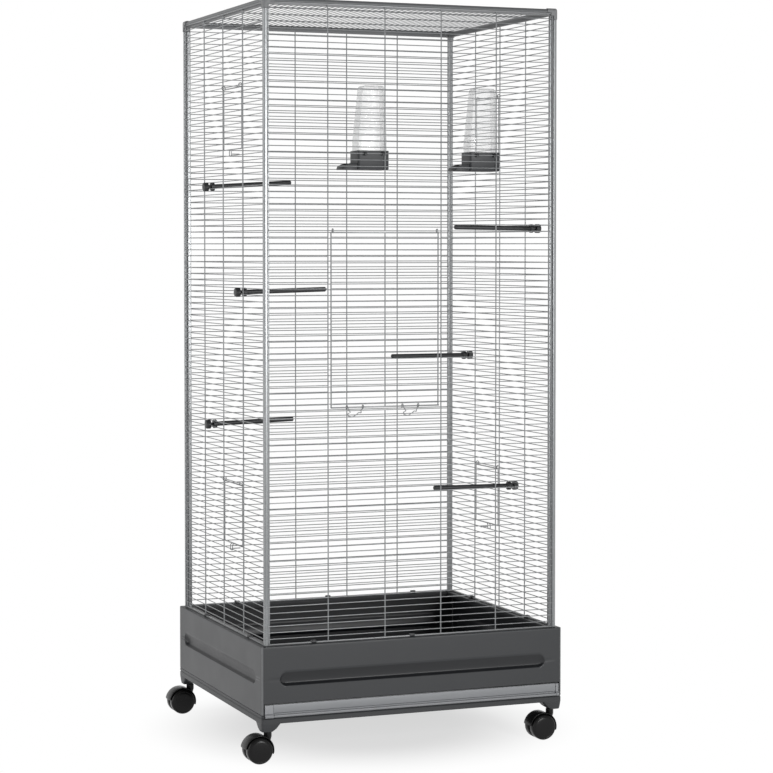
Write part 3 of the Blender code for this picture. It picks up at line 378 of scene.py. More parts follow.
def filleted(corners, steps=4):  # an outline from (x, y, radius) corners
    outline = []
    points = [Vector(corner[:2]) for corner in corners]
    neighbours = zip(points, points[-1:] + points, points[1:] + points, corners)
    for here, back, ahead, (_, _, radius) in neighbours:
        before, after = (back - here).normalized(), (ahead - here).normalized()
        if radius == 0:
            outline.append(here)
            continue
        half = before.angle(after) / 2
        centre = here + (before + after).normalized() * radius / sin(half)
        first = here + before * radius / tan(half) - centre
        sweep = pi - 2 * half
        if before.cross(after) > 0:
            sweep = -sweep
        for step in range(steps + 1):
            turn = Matrix.Rotation(sweep * step / steps, 2)
            outline.append(centre + turn @ first)
    return outline


def inset(outline, amount):  # a counter-clockwise outline drawn in by an amount
    result = []
    points = [Vector(point) for point in outline]
    for here, before, after in zip(points, points[-1:] + points, points[1:] + points):
        back, ahead = (here - before).normalized(), (after - here).normalized()
        first, second = Vector((-back.y, back.x)), Vector((-ahead.y, ahead.x))
        reach = (first + second) / max(0.3, 1 + first.dot(second))
        result.append(here + reach * amount)
    return result


def roundedRect(x, y, radius, steps=4):
    corners = [(x[0], y[0]), (x[1], y[0]), (x[1], y[1]), (x[0], y[1])]
    return filleted([(*corner, radius) for corner in corners], steps)


def raised(outline, stations, place=Matrix()):  # rings at each (height, inset)
    rings = []
    for height, amount in stations:
        ring = inset(outline, amount) if amount else outline
        rings.append([place @ Vector((*point, height)) for point in ring])
    return rings


def softEnds(start, end, bend):  # a straight sweep's stations, its end edges broken
    return [(start, bend), (start + bend, 0), (end - bend, 0), (end, bend)]


def quarter(radius, steps):  # (inset, drop) round an edge, from side to top
    turns = [pi / 2 * step / steps for step in range(steps + 1)]
    return [(radius * (1 - cos(turn)), radius * (1 - sin(turn))) for turn in turns]


class Shape:
    def __init__(self):
        self.bm = bmesh.new()

    def loft(self, rings, closed=False):
        rows = [[self.bm.verts.new(point) for point in ring] for ring in rings]
        for near, far in zip(rows, rows[1:] + rows[:1] if closed else rows[1:]):
            for quad in zip(near, near[1:] + near[:1], far[1:] + far[:1], far):
                self.bm.faces.new(quad)
        if not closed:
            self.bm.faces.new(rows[0][::-1])
            self.bm.faces.new(rows[-1])
        return self

    def sweep(self, outline, stations, place=Matrix()):
        return self.loft(raised(outline, stations, place))

    def tube(self, path, radius, sides=8, closed=False):
        points = [Vector(point) for point in path]
        first, last = (points[-1:], points[:1]) if closed else (points[:1], points[-1:])
        pairs = zip(first + points[:-1], points[1:] + last)
        directions = [(after - before).normalized() for before, after in pairs]
        across = directions[0].orthogonal().normalized()
        rings = []
        for point, direction in zip(points, directions):
            across = (across - direction * across.dot(direction)).normalized()
            up = direction.cross(across)
            turned = Matrix((across, up, direction)).transposed()
            rings.append([point + turned @ spot for spot in circle(radius, sides)])
        return self.loft(rings, closed)

    def turned(self, profile, sides, place=Matrix(), lobes=0, depth=0.0):  # (radius, height)
        def spot(radius, height, turn):
            reach = radius * (1 + depth * cos(lobes * turn))
            return place @ Vector((reach * cos(turn), reach * sin(turn), height))

        turns = [tau * side / sides for side in range(sides)]
        return self.loft([[spot(*row, turn) for turn in turns] for row in profile])

    def block(self, x, y, z, radius=0.0, steps=2):
        size = [high - low for low, high in (x, y, z)]
        centre = Vector([low + high for low, high in (x, y, z)]) / 2
        matrix = shift(centre) @ Matrix.Diagonal((*size, 1))
        made = bmesh.ops.create_cube(self.bm, size=1.0, matrix=matrix)["verts"]
        if radius:
            edges = list({edge for vert in made for edge in vert.link_edges})
            bmesh.ops.bevel(
                self.bm, geom=edges, offset=radius, segments=steps, profile=0.5, affect="EDGES",
            )
        return self

    def move(self, matrix):
        bmesh.ops.transform(self.bm, matrix=matrix, verts=self.bm.verts)
        return self

    def mesh(self, name):
        bmesh.ops.recalc_face_normals(self.bm, faces=self.bm.faces)
        mesh = bpy.data.meshes.new(name)
        self.bm.to_mesh(mesh)
        return mesh

    def combine(self, other, operation):
        pair = [link("step", part.mesh("step")) for part in (self, other)]
        step = pair[0].modifiers.new("step", "BOOLEAN")
        step.operation = operation
        step.solver = "EXACT"
        step.use_self = True
        step.object = pair[1]
        graph = bpy.context.evaluated_depsgraph_get()
        result = bpy.data.meshes.new_from_object(pair[0].evaluated_get(graph))
        self.bm.clear()
        self.bm.from_mesh(result)
        for made in pair:
            bpy.data.objects.remove(made, do_unlink=True)


creases = {"anthracite_paint": 40}  # degrees, where not 32


def addPiece(name, shape, look, body, *nodes):
    mesh = shape.mesh(name)
    mesh.materials.append(finishes[look].material)
    mesh.shade_smooth()
    mesh.set_sharp_from_angle(angle=radians(creases.get(look, 32)))
    piece = link(name, mesh)
    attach(piece, body)
    if nodes:
        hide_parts(*nodes)


def halvesOf(side, x, y):  # half a side's length, and how far out it stands
    return (x, y) if side in ("front", "back") else (y, x)


def faceOf(side, height):  # right seen from outside, inwards and up from an outer face
    out = halvesOf(side, postHalfX, postHalfY)[1]
    return cage @ spin(sideTurns[side]) @ shift((0, -out, height))


def sidePlace(side):  # the same from the panel's lower edge
    return faceOf(side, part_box("panel_" + side)[0].z)


def boxSeenFrom(place, node):  # a node's lowest and highest corners in other coordinates
    corners = [place.inverted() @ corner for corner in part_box(node)]
    return [Vector(map(extreme, *corners)) for extreme in (min, max)]


# Corner posts and top rails: a square with a rebate on either side of its outer corner

section = {
    "size": 0.0125, "face": 0.007, "rebate": 0.0055, "outerRadius": 0.003, "edge": 0.0005,
    "railRadius": 0.0058, "endRound": 0.0004, "footHeight": 0.011, "footGroove": 0.0005,
}


def postOutline(proud=0.0, outerRadius=section["outerRadius"]):
    size, face, rebate, edge = pick(section, "size face rebate edge")
    return filleted([
        (-proud, -proud, outerRadius), (face, -proud, edge), (face, rebate, edge),
        (size, rebate, edge), (size, size, edge), (rebate, size, edge),
        (rebate, face, edge), (-proud, face, edge),
    ], 5)


def postCorner(corner, height):
    signX, signY = cornerSigns[corner]
    spot = shift((signX * postHalfX, signY * postHalfY, height))
    return cage @ spot @ spin(cornerTurns[corner])


def makePosts():
    outline = postOutline()
    bend, groove = section["endRound"], section["footGroove"]
    for corner in cornerSigns:
        low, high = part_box("post_" + corner)
        foot = low.z + section["footHeight"]
        stations = softEnds(low.z, high.z, bend)
        stations[2:2] = [(foot - groove, 0), (foot, groove), (foot + groove, 0)]
        shape = Shape().sweep(outline, stations, postCorner(corner, 0))
        addPiece("corner_post_" + corner, shape, "silver_paint", "cage", "post_" + corner)


layRail = Matrix(((0, 0, -1, 0), (1, 0, 0, 0), (0, -1, 0, 0), (0, 0, 0, 1)))


def makeRails():
    outline = postOutline(0, section["railRadius"])
    for side in sideTurns:
        node = "top_rail_" + side
        place = faceOf(side, cageTop)
        low, high = boxSeenFrom(place, node)
        half = (high.x - low.x) / 2
        stations = softEnds(-half, half, section["endRound"])
        shape = Shape().sweep(outline, stations, place @ layRail)
        addPiece("rail_" + side, shape, "shaded_rail_paint", "cage", node)


connector = {"reach": 0.02, "proud": 0.0012, "radius": 0.0045, "lip": 0.0003, "trim": 0.0005}


def makeConnectors():  # three arms joined at a rounded corner
    proud, reach, lip, trim, radius = pick(connector, "proud reach lip trim radius")
    over = proud + trim
    outline = postOutline(over, trim)
    stations = [(-over, 0), (reach - lip, 0), (reach, lip)]
    far = reach * 2
    downwards = spin(180, "X") @ Matrix.Scale(-1, 4, (0, 1, 0))
    alongX = Matrix(((0, 0, 1, 0), (1, 0, 0, 0), (0, -1, 0, 0), (0, 0, 0, 1)))
    alongY = Matrix(((1, 0, 0, 0), (0, 0, 1, 0), (0, -1, 0, 0), (0, 0, 0, 1)))
    for corner in cornerSigns:
        shape = Shape().sweep(outline, stations, downwards)
        for lay in (alongX, alongY):
            shape.combine(Shape().sweep(outline, stations, lay), "UNION")
        mould = Shape().block((-proud, far), (-proud, far), (-far, proud), radius, 5)
        shape.combine(mould, "INTERSECT")
        shape.move(postCorner(corner, cageTop))
        node = "corner_connector_" + corner
        addPiece("connector_" + corner, shape, "connector_plastic", "cage", node)


makePosts()
makeRails()
makeConnectors()
print("posts, rails and connectors made")


# Bar panels: round bars across in front, upright bars behind them, flat bars at the edges

bars = {
    "pitch": 0.012, "row": 0.00085, "rowDepth": 0.0016, "upright": 0.00115, "uprightDepth": 0.0037,
    "edge": 0.0025, "edgeFront": 0.0005, "edgeBack": 0.0048, "edgeRound": 0.0007, "sides": 10,
    "hatchEdge": 0.0018,
}
panelBays = {"front": 5, "back": 5, "left": 4, "right": 4, "top": 4}
openings = {
    "front": {"front_door": 0.006},
    "left": {"hatch_left_upper": 0.012, "hatch_left_lower": 0.012},
    "right": {"hatch_right_upper": 0.012, "hatch_right_lower": 0.012},
}


def rowPlaces(height):
    pitch = bars["pitch"]
    count = round(height / pitch) - 1
    return [(height - (count - 1) * pitch) / 2 + row * pitch for row in range(count)]


def uprightPlaces(clear, bays):
    return [clear * (bay / bays - 0.5) for bay in range(1, bays)]


def gridShape(half, rows, uprights, bottom, top, gaps=(), edge=bars["edge"]):
    front, back, soft, sides = pick(bars, "edgeFront edgeBack edgeRound sides")
    row, rowDepth, upright, uprightDepth = pick(bars, "row rowDepth upright uprightDepth")
    shape = Shape()
    reach = edge / 2
    for low in (bottom, top - edge):
        shape.block((-half, half), (front, back), (low, low + edge), soft)
    for x in (reach - half, half - reach):
        ends = [(x, uprightDepth, bottom + reach), (x, uprightDepth, top - reach)]
        shape.tube(ends, reach, sides)
    for index, z in enumerate(rows):
        stops = [-half, half]
        for left, right, sill, lintel in gaps:
            if sill < index < lintel:
                stops[1:1] = [left, right]
        for start, end in zip(stops[::2], stops[1::2]):
            shape.tube([(start, rowDepth, z), (end, rowDepth, z)], row, sides)
    for x in uprights:
        stops = [bottom + reach]
        for left, right, sill, lintel in sorted(gaps, key=lambda gap: gap[2]):
            if left < x - edge and x + edge < right:
                stops += [rows[sill], rows[lintel]]
        stops.append(top - reach)
        for low, high in zip(stops[::2], stops[1::2]):
            shape.tube([(x, uprightDepth, low), (x, uprightDepth, high)], upright, sides)
    return shape


def openingOf(place, node, rows, uprights):  # left, right, sill and lintel bars round a door
    low, high = boxSeenFrom(place, node)
    left = max(x for x in uprights if x < low.x)
    right = min(x for x in uprights if x > high.x)
    sill = floor((low.z - rows[0]) / bars["pitch"] + 0.3)
    lintel = floor((high.z - rows[0]) / bars["pitch"])
    return left, right, sill, lintel


def panelOf(side):
    place = sidePlace(side)
    low, high = boxSeenFrom(place, "panel_" + side)
    clear = 2 * (halvesOf(side, postHalfX, postHalfY)[0] - section["size"])
    return place, high.x, high.z, rowPlaces(high.z), uprightPlaces(clear, panelBays[side])


def makePanels():
    for side in sideTurns:
        place, half, height, rows, uprights = panelOf(side)
        gaps = [openingOf(place, node, rows, uprights) for node in openings.get(side, ())]
        shape = gridShape(half, rows, uprights, 0, height, gaps).move(place)
        node = "panel_" + side
        addPiece("bar_" + node, shape, "wire_paint", "cage", node)


def makeRoof():  # bars from front to back on bars across
    low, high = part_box("panel_top")
    length, half = high.x - low.x, (high.y - low.y) / 2
    uprights = uprightPlaces(2 * (postHalfY - section["size"]), panelBays["top"])
    shape = gridShape(half, rowPlaces(length), uprights, 0, length)
    shape.move(cage @ shift((length / 2, 0, cageTop)) @ layRail)
    addPiece("bar_panel_top", shape, "wire_paint", "cage", "panel_top")


makePanels()
makeRoof()
print("bar panels made")


# Door and hatches, hung by rings round a bar of their panel

hanging = {"ring": 0.0035, "wire": 0.0009, "inset": 0.004, "axisDepth": 0.0022, "steps": 16}
pull = {
    "width": 0.012, "drop": 0.0125, "shoulder": 0.0035, "standOff": 0.0018,
    "catchReach": 0.013, "catchGap": 0.0012, "bend": 0.0016,
}


def smoothed(points, radius, steps=4):  # a path whose bends are rounded
    points = [Vector(point) for point in points]
    result = points[:1]
    for before, here, after in zip(points, points[1:], points[2:]):
        back, ahead = before - here, after - here
        reach = min(radius, back.length * 0.45, ahead.length * 0.45)
        start, end = here + back.normalized() * reach, here + ahead.normalized() * reach
        for step in range(steps + 1):
            t = step / steps
            result.append(start * (1 - t) ** 2 + here * 2 * t * (1 - t) + end * t ** 2)
    return result + points[-1:]


def doorShape(place, node, gap, sillGap, rows, uprights):
    left, right, sill, lintel = gap
    low, high = boxSeenFrom(place, node)
    half = (high.x - low.x) / 2
    centre = (left + right) / 2
    edge = bars["hatchEdge" if node.startswith("hatch") else "edge"]
    bottom = rows[sill] + sillGap - edge / 2
    top = rows[lintel] - hanging["ring"] + edge / 2
    inner = [row for row in rows[sill + 1:lintel] if row > bottom + edge]
    within = [x - centre for x in uprights if left < x < right]
    shape = gridShape(half, inner, within, bottom, top, edge=edge)
    axis = Vector((0, hanging["axisDepth"], rows[lintel]))
    spots = circle(hanging["ring"], hanging["steps"])
    for x in (hanging["inset"] - half, half - hanging["inset"]):
        ring = [axis + Vector((x, spot.x, spot.y)) for spot in spots]
        shape.tube(ring, hanging["wire"], closed=True)
    shape.move(shift((centre, 0, 0)))
    return shape


def addPull(shape, gap, rows):
    left, right, sill, _ = gap
    width, standOff, shoulder, drop, bend = pick(pull, "width standOff shoulder drop bend")
    start, end = (left + right - width) / 2, (left + right + width) / 2
    front, wire = bars["rowDepth"] - bars["row"] - standOff, hanging["wire"]
    bar = (bars["edgeFront"] + bars["edge"] / 2, rows[sill] + bars["pitch"])
    path = [bar, (front, bar[1] - shoulder), (front, bar[1] - drop)]
    loop = [(start, *spot) for spot in path] + [(end, *spot) for spot in reversed(path)]
    shape.tube(smoothed(loop, bend), wire)
    height = rows[sill] + bars["row"] + pull["catchGap"] + wire
    reach = pull["catchReach"] + hanging["axisDepth"]
    shape.tube([(end, depth, height) for depth in (front, reach)], wire)


def makeDoors():
    for side, found in openings.items():
        place, _, _, rows, uprights = panelOf(side)
        for node, sillGap in found.items():
            gap = openingOf(place, node, rows, uprights)
            shape = doorShape(place, node, gap, sillGap, rows, uprights)
            if node.startswith("hatch"):
                addPull(shape, gap, rows)
            shape.move(place)
            addPiece(node + "_bars", shape, "wire_paint", node, node)


latch = {
    "eye": 0.0039, "width": 0.032, "standOff": 0.0018, "bendRadius": 0.002,
    "bends": [
        (-0.0104, -0.0094), (-0.016, -0.0117), (-0.0146, -0.016), (-0.0062, -0.018),
        (0.0022, -0.0133), (0.0064, -0.0094), (0.0114, -0.0109), (0.0108, -0.0065),
    ],
}


def makeLatches():
    place, _, _, rows, uprights = panelOf("front")
    depth = (bars["edgeFront"] + bars["edgeBack"]) / 2
    sill = openingOf(place, "front_door", rows, uprights)[2]
    height = rows[sill] + openings["front"]["front_door"]
    front = bars["rowDepth"] - bars["row"] - latch["standOff"] - depth
    half = latch["width"] / 2
    eye = arc((0, 0), latch["eye"], -60, 180, 12)
    bends = smoothed([(x, front, z) for x, z in latch["bends"]], latch["bendRadius"], 3)
    path = [(-half, y, z) for y, z in eye] + bends + [(half, y, z) for y, z in reversed(eye)]
    for node in ("door_latch_left", "door_latch_right"):
        low, high = boxSeenFrom(place, node)
        spot = place @ shift(((low.x + high.x) / 2, depth, height))
        shape = Shape().tube(path, hanging["wire"]).move(spot)
        addPiece(node + "_wire", shape, "wire_paint", node, node)


makeDoors()
makeLatches()
print("door, hatches and latches made")


# Base: a pressed steel skirt with a flange turned in at the top

skirt = {
    "wall": 0.002, "flange": 0.024, "lip": 0.01, "cornerRadius": 0.004, "fold": 0.0016,
    "bottom": 0.09, "slotTop": 0.111, "slotInset": 0.0045, "edge": 0.0005,
    "ribCentre": 0.1555, "ribHeight": 0.027, "ribInset": 0.036, "ribDepth": 0.0065,
    "ribUpper": 0.78, "ribLower": 0.18, "flat": 0.003,
    "endSteps": 12, "heightSteps": 20, "cornerSteps": 6,
}


def ribDepth(half, along, height):  # how far a pressed rib lies behind the wall
    radius = skirt["ribHeight"] / 2
    beyond = max(0, abs(along) - (half - skirt["ribInset"] - radius))
    reach = sqrt(max(0, radius ** 2 - beyond ** 2))
    if reach < 1e-6 or abs(height - skirt["ribCentre"]) >= reach:
        return 0
    down = (skirt["ribCentre"] + reach - height) / (2 * reach)
    upper = min(1, down / skirt["ribUpper"])
    lower = min(1, (1 - down) / skirt["ribLower"])
    return skirt["ribDepth"] * reach / radius * upper * (2 - upper) * lower


def ribSamples(half):  # places along one wall, close together at the rib's round ends
    radius = skirt["ribHeight"] / 2
    reach, steps = half - skirt["ribInset"] - radius, skirt["endSteps"]
    ends = [reach + radius * 1.05 * step / steps for step in range(steps + 1)]
    straight = half - skirt["cornerRadius"]
    ends += [straight - skirt["flat"], straight]
    return sorted([-x for x in ends] + [0] + ends)


def wallRing(amount, height, pressed):  # one turn round the base, drawn in by an amount
    radius = max(skirt["cornerRadius"] - amount, 0.0008)
    ring = []
    for side, degrees in sideTurns.items():
        turn = cage @ spin(degrees)
        half, out = halvesOf(side, baseHalfX, baseHalfY)
        straight = half - skirt["cornerRadius"]
        for along in ribSamples(half):
            deep = ribDepth(half, along, height) if pressed else 0
            x = along * (half - amount - radius) / straight
            ring.append(turn @ Vector((x, deep - (out - amount), height)))
        bend = Vector((half - amount - radius, radius - (out - amount)))
        for x, y in arc(bend, radius, -90, 0, skirt["cornerSteps"])[1:-1]:
            ring.append(turn @ Vector((x, y, height)))
    return ring


def makeSkirt():
    wall, flange, edge, fold, flat = pick(skirt, "wall flange edge fold flat")
    bottom, steps, lipEnd = skirt["bottom"], skirt["heightSteps"], baseTop - skirt["lip"]
    low = skirt["ribCentre"] - skirt["ribHeight"] / 2
    ribs = [low + skirt["ribHeight"] * step / steps for step in range(steps + 1)]
    ribs = [bottom + flat, low - flat, *ribs, ribs[-1] + flat, baseTop - fold - flat]
    over = [(fold - x, baseTop - fold + y) for x, y in arc((0, 0), fold, 0, 90, 4)]
    lip = [
        (flange - edge, baseTop), (flange, baseTop - edge), (flange, lipEnd + edge),
        (flange - edge, lipEnd), (flange - wall + edge, lipEnd), (flange - wall, lipEnd + edge),
        (flange - wall, baseTop - wall), (wall, baseTop - wall),
    ]
    outer = [(edge, bottom), (0, bottom + edge)] + [(0, z) for z in ribs]
    inner = [(wall, z) for z in reversed(ribs)] + [(wall, bottom + edge), (wall - edge, bottom)]
    rings = [wallRing(*row, True) for row in outer]
    rings += [wallRing(*row, False) for row in over + lip] + [wallRing(*row, True) for row in inner]
    shape = Shape().loft(rings, True)
    side, slotTop = baseHalfX - skirt["slotInset"], skirt["slotTop"]
    slot = Shape().block((-side, side), (-baseHalfY - wall, -baseHalfY + 2 * wall), (0, slotTop))
    shape.combine(slot.move(cage), "DIFFERENCE")
    addPiece("base_skirt_pressing", shape, "anthracite_paint", "cage", "base_skirt")


bottomFrame = {
    "bottom": 0.073, "ledge": 0.0845, "width": 0.032, "rim": 0.0045, "radius": 0.004,
    "edge": 0.0008, "groove": 0.0018, "grooveHeight": 0.0835, "footRadius": 0.0045,
    "foot": (  # height, size inwards, draft outwards
        (0.0738, 0.038, 0), (0.073, 0.038, 0), (0.063, 0.03, 0.0012),
        (0.0588, 0.024, 0.002), (0.058, 0.023, 0.0028),
    ),
}


def makeBottomFrame():
    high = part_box("bottom_frame")[1].z
    edge, bottom, radius, width, rim = pick(bottomFrame, "edge bottom radius width rim")
    groove, line, ledge = pick(bottomFrame, "groove grooveHeight ledge")
    x, y = baseHalfX, baseHalfY
    outer = [
        (bottom, edge), (bottom + edge, 0), (line - groove, 0), (line, groove * 0.7),
        (line + groove, 0), (high - edge, 0), (high, edge),
    ]
    rings = raised(roundedRect((-x, x), (-y, y), radius, 5), outer, cage)
    inner = roundedRect((width - x, x - width), (width - y, y - width), radius, 5)
    rings += raised(inner, [(high, 0), (bottom, 0)], cage)
    shape = Shape().loft(rings, True)
    pocket = Shape().block((rim - x, x - rim), (-y - rim, y - rim), (ledge, high + rim))
    shape.combine(pocket.move(cage), "DIFFERENCE")
    for signX, signY in cornerSigns.values():
        place = cage @ shift((signX * x, signY * y, 0)) @ Matrix.Diagonal((signX, signY, 1, 1))
        rings = []
        for height, size, draft in bottomFrame["foot"]:
            square = roundedRect((-size, -draft), (-size, -draft), bottomFrame["footRadius"])
            rings += raised(square, [(height, 0)], place)
        shape.loft([ring[::signX * signY] for ring in rings])
    addPiece("bottom_frame_and_feet", shape, "frame_paint", "cage", "bottom_frame")


clip = {
    "half": 0.0055, "front": -0.0004, "back": 0.0061, "height": 0.0052, "radius": 0.0016,
    "tongueHalf": 0.0033, "tongueDepth": (0.0016, 0.0103), "tongueHeight": (0.0002, 0.003),
    "tongueRadius": 0.0008, "places": {
        "front": (-0.2006, -0.0027), "right": (-0.1358, 0.1385),
        "back": (-0.2077, -0.0145, 0.1857), "left": (-0.1156, 0.1591),
    },
}


def makeClips():  # they hold the panels' lower bars
    half, thin, front, back, height, radius = pick(clip, "half tongueHalf front back height radius")
    for side, places in clip["places"].items():
        for number, x in enumerate(places, 1):
            shape = Shape().block((x - half, x + half), (front, back), (0, height), radius, 3)
            shape.block((x - thin, x + thin), *pick(clip, "tongueDepth tongueHeight tongueRadius"))
            name = f"panel_clip_{side}_{number}"
            addPiece(name, shape.move(sidePlace(side)), "clip_plastic", "cage")


makeSkirt()
makeBottomFrame()
makeClips()
print("base made")


# Litter drawer

drawer = {
    "face": 0.006, "lip": 0.0052, "lipTop": 0.0054, "groove": 0.002, "edge": 0.0014,
    "tight": 0.0004, "lipEnd": 0.001, "leftCap": 0.0165, "rightCap": 0.006,
    "capFace": 0.0068, "capRound": 0.0008, "capLip": 0.00832, "seam": 0.0004,
    "wall": 0.002, "trayRadius": 0.01, "floorRadius": 0.004, "rimRound": 0.0009,
}


def makeDrawerFront():  # outlines seen from an end, from the back lower edge
    low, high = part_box("drawer_front")
    face, lip, groove, edge, tight, soft = pick(drawer, "face lip groove edge tight capRound")
    tall, tip = high.z - low.z, low.y - high.y
    strip = filleted([
        (-face, 0, tight), (0, 0, tight), (0, tall, tight), (-face, tall, edge),
        (-face, lip + groove * 2, tight), (groove - face, lip + groove, tight),
        (groove - face, drawer["lipTop"], tight), (tip, lip, drawer["lipEnd"]),
        (tip, drawer["lipEnd"], soft),
    ], 3)
    face = drawer["capFace"]
    cap = filleted([
        (-face, 0, soft), (0, 0, soft), (0, tall, soft), (-face, tall, edge),
        (-face, drawer["capLip"], 0.002), (tip, lip, edge), (tip, 0, 0.0012),
    ], 3)
    stand = Matrix(((0, 0, 1, 0), (1, 0, 0, high.y), (0, 1, 0, low.z), (0, 0, 0, 1)))
    bend = drawer["seam"]
    start, end = low.x + drawer["leftCap"], high.x - drawer["rightCap"]
    shape = Shape()
    for outline, first, last in (
        (strip, start + bend, end - bend), (cap, low.x, start), (cap, end, high.x),
    ):
        shape.sweep(outline, softEnds(first, last, bend), stand)
    addPiece("drawer_front_strip", shape, "drawer_paint", "drawer", "drawer_front")


def makeTray():
    low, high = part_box("drawer_tray")
    wall, bend, soft, radius = pick(drawer, "wall rimRound floorRadius trayRadius")
    outline = roundedRect((low.x, high.x), (low.y, high.y), radius, 6)
    outer = [(low.z + drop, amount) for amount, drop in reversed(quarter(soft, 4))]
    rim = [
        (high.z - bend, 0), (high.z, bend * 0.4), (high.z, wall - bend * 0.4),
        (high.z - bend, wall),
    ]
    inner = [(z + wall, amount + wall) for z, amount in reversed(outer)]
    shape = Shape().sweep(outline, outer + rim + inner)
    addPiece("litter_tray", shape, "tray_plastic", "drawer", "drawer_tray")


makeDrawerFront()
makeTray()
print("drawer made")


# Perches and the nuts that clamp them on the bars

perch = {
    "rod": 0.0046, "nose": 0.003, "collar": 0.0085, "collarLength": 0.007, "neck": 0.001,
    "stud": 0.0028, "studLength": 0.014, "length": 0.168, "soft": 0.0008, "seatGap": 0.0008,
    "nut": 0.009, "nutLength": 0.01, "nutBore": 0.0031, "nutLobes": 6, "lobeDepth": 0.0225,
    "nutCap": 0.0025, "sides": 36, "rakes": {
        "left_top": 3.4, "left_middle": 1.5, "left_low": 1.9,
        "right_top": 0.7, "right_middle": 0.0, "right_low": 0.5,
    },
}


def perchPlace(name, degrees):  # the tip is up, the middle of the bars is z = 0
    place = sidePlace(name.split("_")[0])
    centre = sum(boxSeenFrom(place, "perch_nut_" + name), Vector()) / 2
    depth = (bars["rowDepth"] - bars["row"] + bars["edgeBack"]) / 2
    rise = (depth - centre.y) * tan(radians(degrees))
    return place @ shift((centre.x, depth, centre.z + rise)) @ spin(degrees, "X") @ spin(-90, "X")


def makePerches():
    half = (bars["edgeBack"] - bars["rowDepth"] + bars["row"]) / 2 + perch["seatGap"]
    rod, nose, collar, stud, length = pick(perch, "rod nose collar stud length")
    foot, neck, soft, nut, bore, tall = pick(perch, "collarLength neck soft nut nutBore nutLength")
    sides, lobes, deep = pick(perch, "sides nutLobes lobeDepth")
    tip = [(rod - nose + x, length - nose + z) for x, z in arc((0, 0), nose, 0, 80, 5)]
    rodProfile = tip[::-1] + [
        (rod, foot + neck), (rod + neck, foot), (collar - soft, foot), (collar, foot - soft),
        (collar, soft), (collar - soft, 0), (stud, 0), (stud, -perch["studLength"]),
    ]
    nutProfile = [
        (bore, perch["nutCap"] - tall), (bore, -0.0006), (0.0036, 0), (nut - soft, 0), (nut, -soft),
        (nut, 0.003 - tall), (nut - 0.0009, 0.001 - tall), (nut - 0.0026, -tall),
        (0.0004, 0.0001 - tall),
    ]
    for name, degrees in perch["rakes"].items():
        place = perchPlace(name, degrees)
        rodShape = Shape().turned(rodProfile, sides, place @ shift((0, 0, half)))
        nutShape = Shape().turned(nutProfile, sides, place @ shift((0, 0, -half)), lobes, deep)
        addPiece("perch_rod_" + name, rodShape, "perch_plastic", "cage", "perch_" + name)
        addPiece("nut_" + name, nutShape, "perch_plastic", "cage", "perch_nut_" + name)


makePerches()
print("perches made")


# Feeders: a moulded trough with a clear reservoir standing in it

feeder = {
    "wall": 0.002, "width": 0.062, "depth": 0.045, "height": 0.036, "radius": 0.0035,
    "rim": 0.0007, "lipRound": 0.0008, "lipLength": 0.03, "lipHeight": 0.0126, "lipWidth": 0.036,
    "lipEndHeight": 0.0076, "lipEndRun": 0.0034, "lipSlope": 0.013,
    "hookHalf": 0.0025, "hookThickness": 0.0016, "hookDown": 0.0065, "hookPlace": 0.018,
    "hookDrop": 0.006, "hookRound": 0.0004,
}
tower = {
    "height": 0.122, "wall": 0.0015, "shoulder": 0.019, "taper": 0.01, "backTaper": 0.003,
    "endTaper": 0.003, "socket": 0.018, "radius": 0.006, "tightest": 0.001, "gap": 0.0003,
}


def feederPlace(side):  # from the middle of the trough's back, at its bottom
    place = sidePlace("front")
    low, high = boxSeenFrom(place, "feeder_trough_" + side)
    back = bars["edgeBack"] + tower["gap"]
    return place @ shift((high.x - feeder["width"] / 2, back, low.z))


def makeTrough(side):
    look = feeder
    wall, depth, height, rim, lipTop, bend = pick(look, "wall depth height rim lipHeight lipRound")
    half, wide, gap = look["width"] / 2, look["lipWidth"] / 2, tower["gap"]
    shape = Shape().sweep(roundedRect((-half, half), (0, depth), look["radius"], 5), [
        (0, 0.0016), (0.0005, 0.0005), (0.0016, 0), (height - rim, 0), (height, rim),
        (height, wall - rim), (height - rim, wall), (wall + 0.001, wall), (wall, wall + 0.001),
    ])
    end, root, run = -half - look["lipLength"], wall / 2 - half, look["lipEndRun"]
    stand = Matrix(((1, 0, 0, 0), (0, 0, -1, depth / 2), (0, 1, 0, 0), (0, 0, 0, 1)))
    lipSide = filleted([
        (end, 0, 0.0014), (root, 0, 0), (root, lipTop, 0),
        (end + run + look["lipSlope"], lipTop, 0.003), (end + run, look["lipEndHeight"], 0.0012),
    ])
    ends = [(-wide, bend), (bend * 0.3 - wide, bend * 0.3), (bend - wide, 0)]
    ends += [(-z, amount) for z, amount in reversed(ends)]
    shape.combine(Shape().sweep(lipSide, ends, stand), "UNION")
    inside = (depth / 2 - wide + wall, depth / 2 + wide - wall)
    for x, z in ((0, (wall + 0.0012, lipTop - wall)), (-half - gap, (wall + 0.0016, lipTop * 2))):
        cut = Shape().block((end + run + wall, x), inside, z)
        shape.combine(cut, "DIFFERENCE")
    thick, hookHalf, soft = pick(look, "hookThickness hookHalf hookRound")
    top = height - look["hookDrop"] + bars["row"] + gap + thick
    front = bars["rowDepth"] - bars["row"] - bars["edgeBack"] - 2 * gap
    for x in (-look["hookPlace"], look["hookPlace"]):
        hook = (x - hookHalf, x + hookHalf)
        shape.block(hook, (front - thick, wall / 2), (top - thick, top), soft)
        shape.block(hook, (front - thick, front), (top - look["hookDown"], top), soft)
    node = "feeder_trough_" + side
    addPiece(node + "_moulding", shape.move(feederPlace(side)), "feeder_plastic", "cage", node)


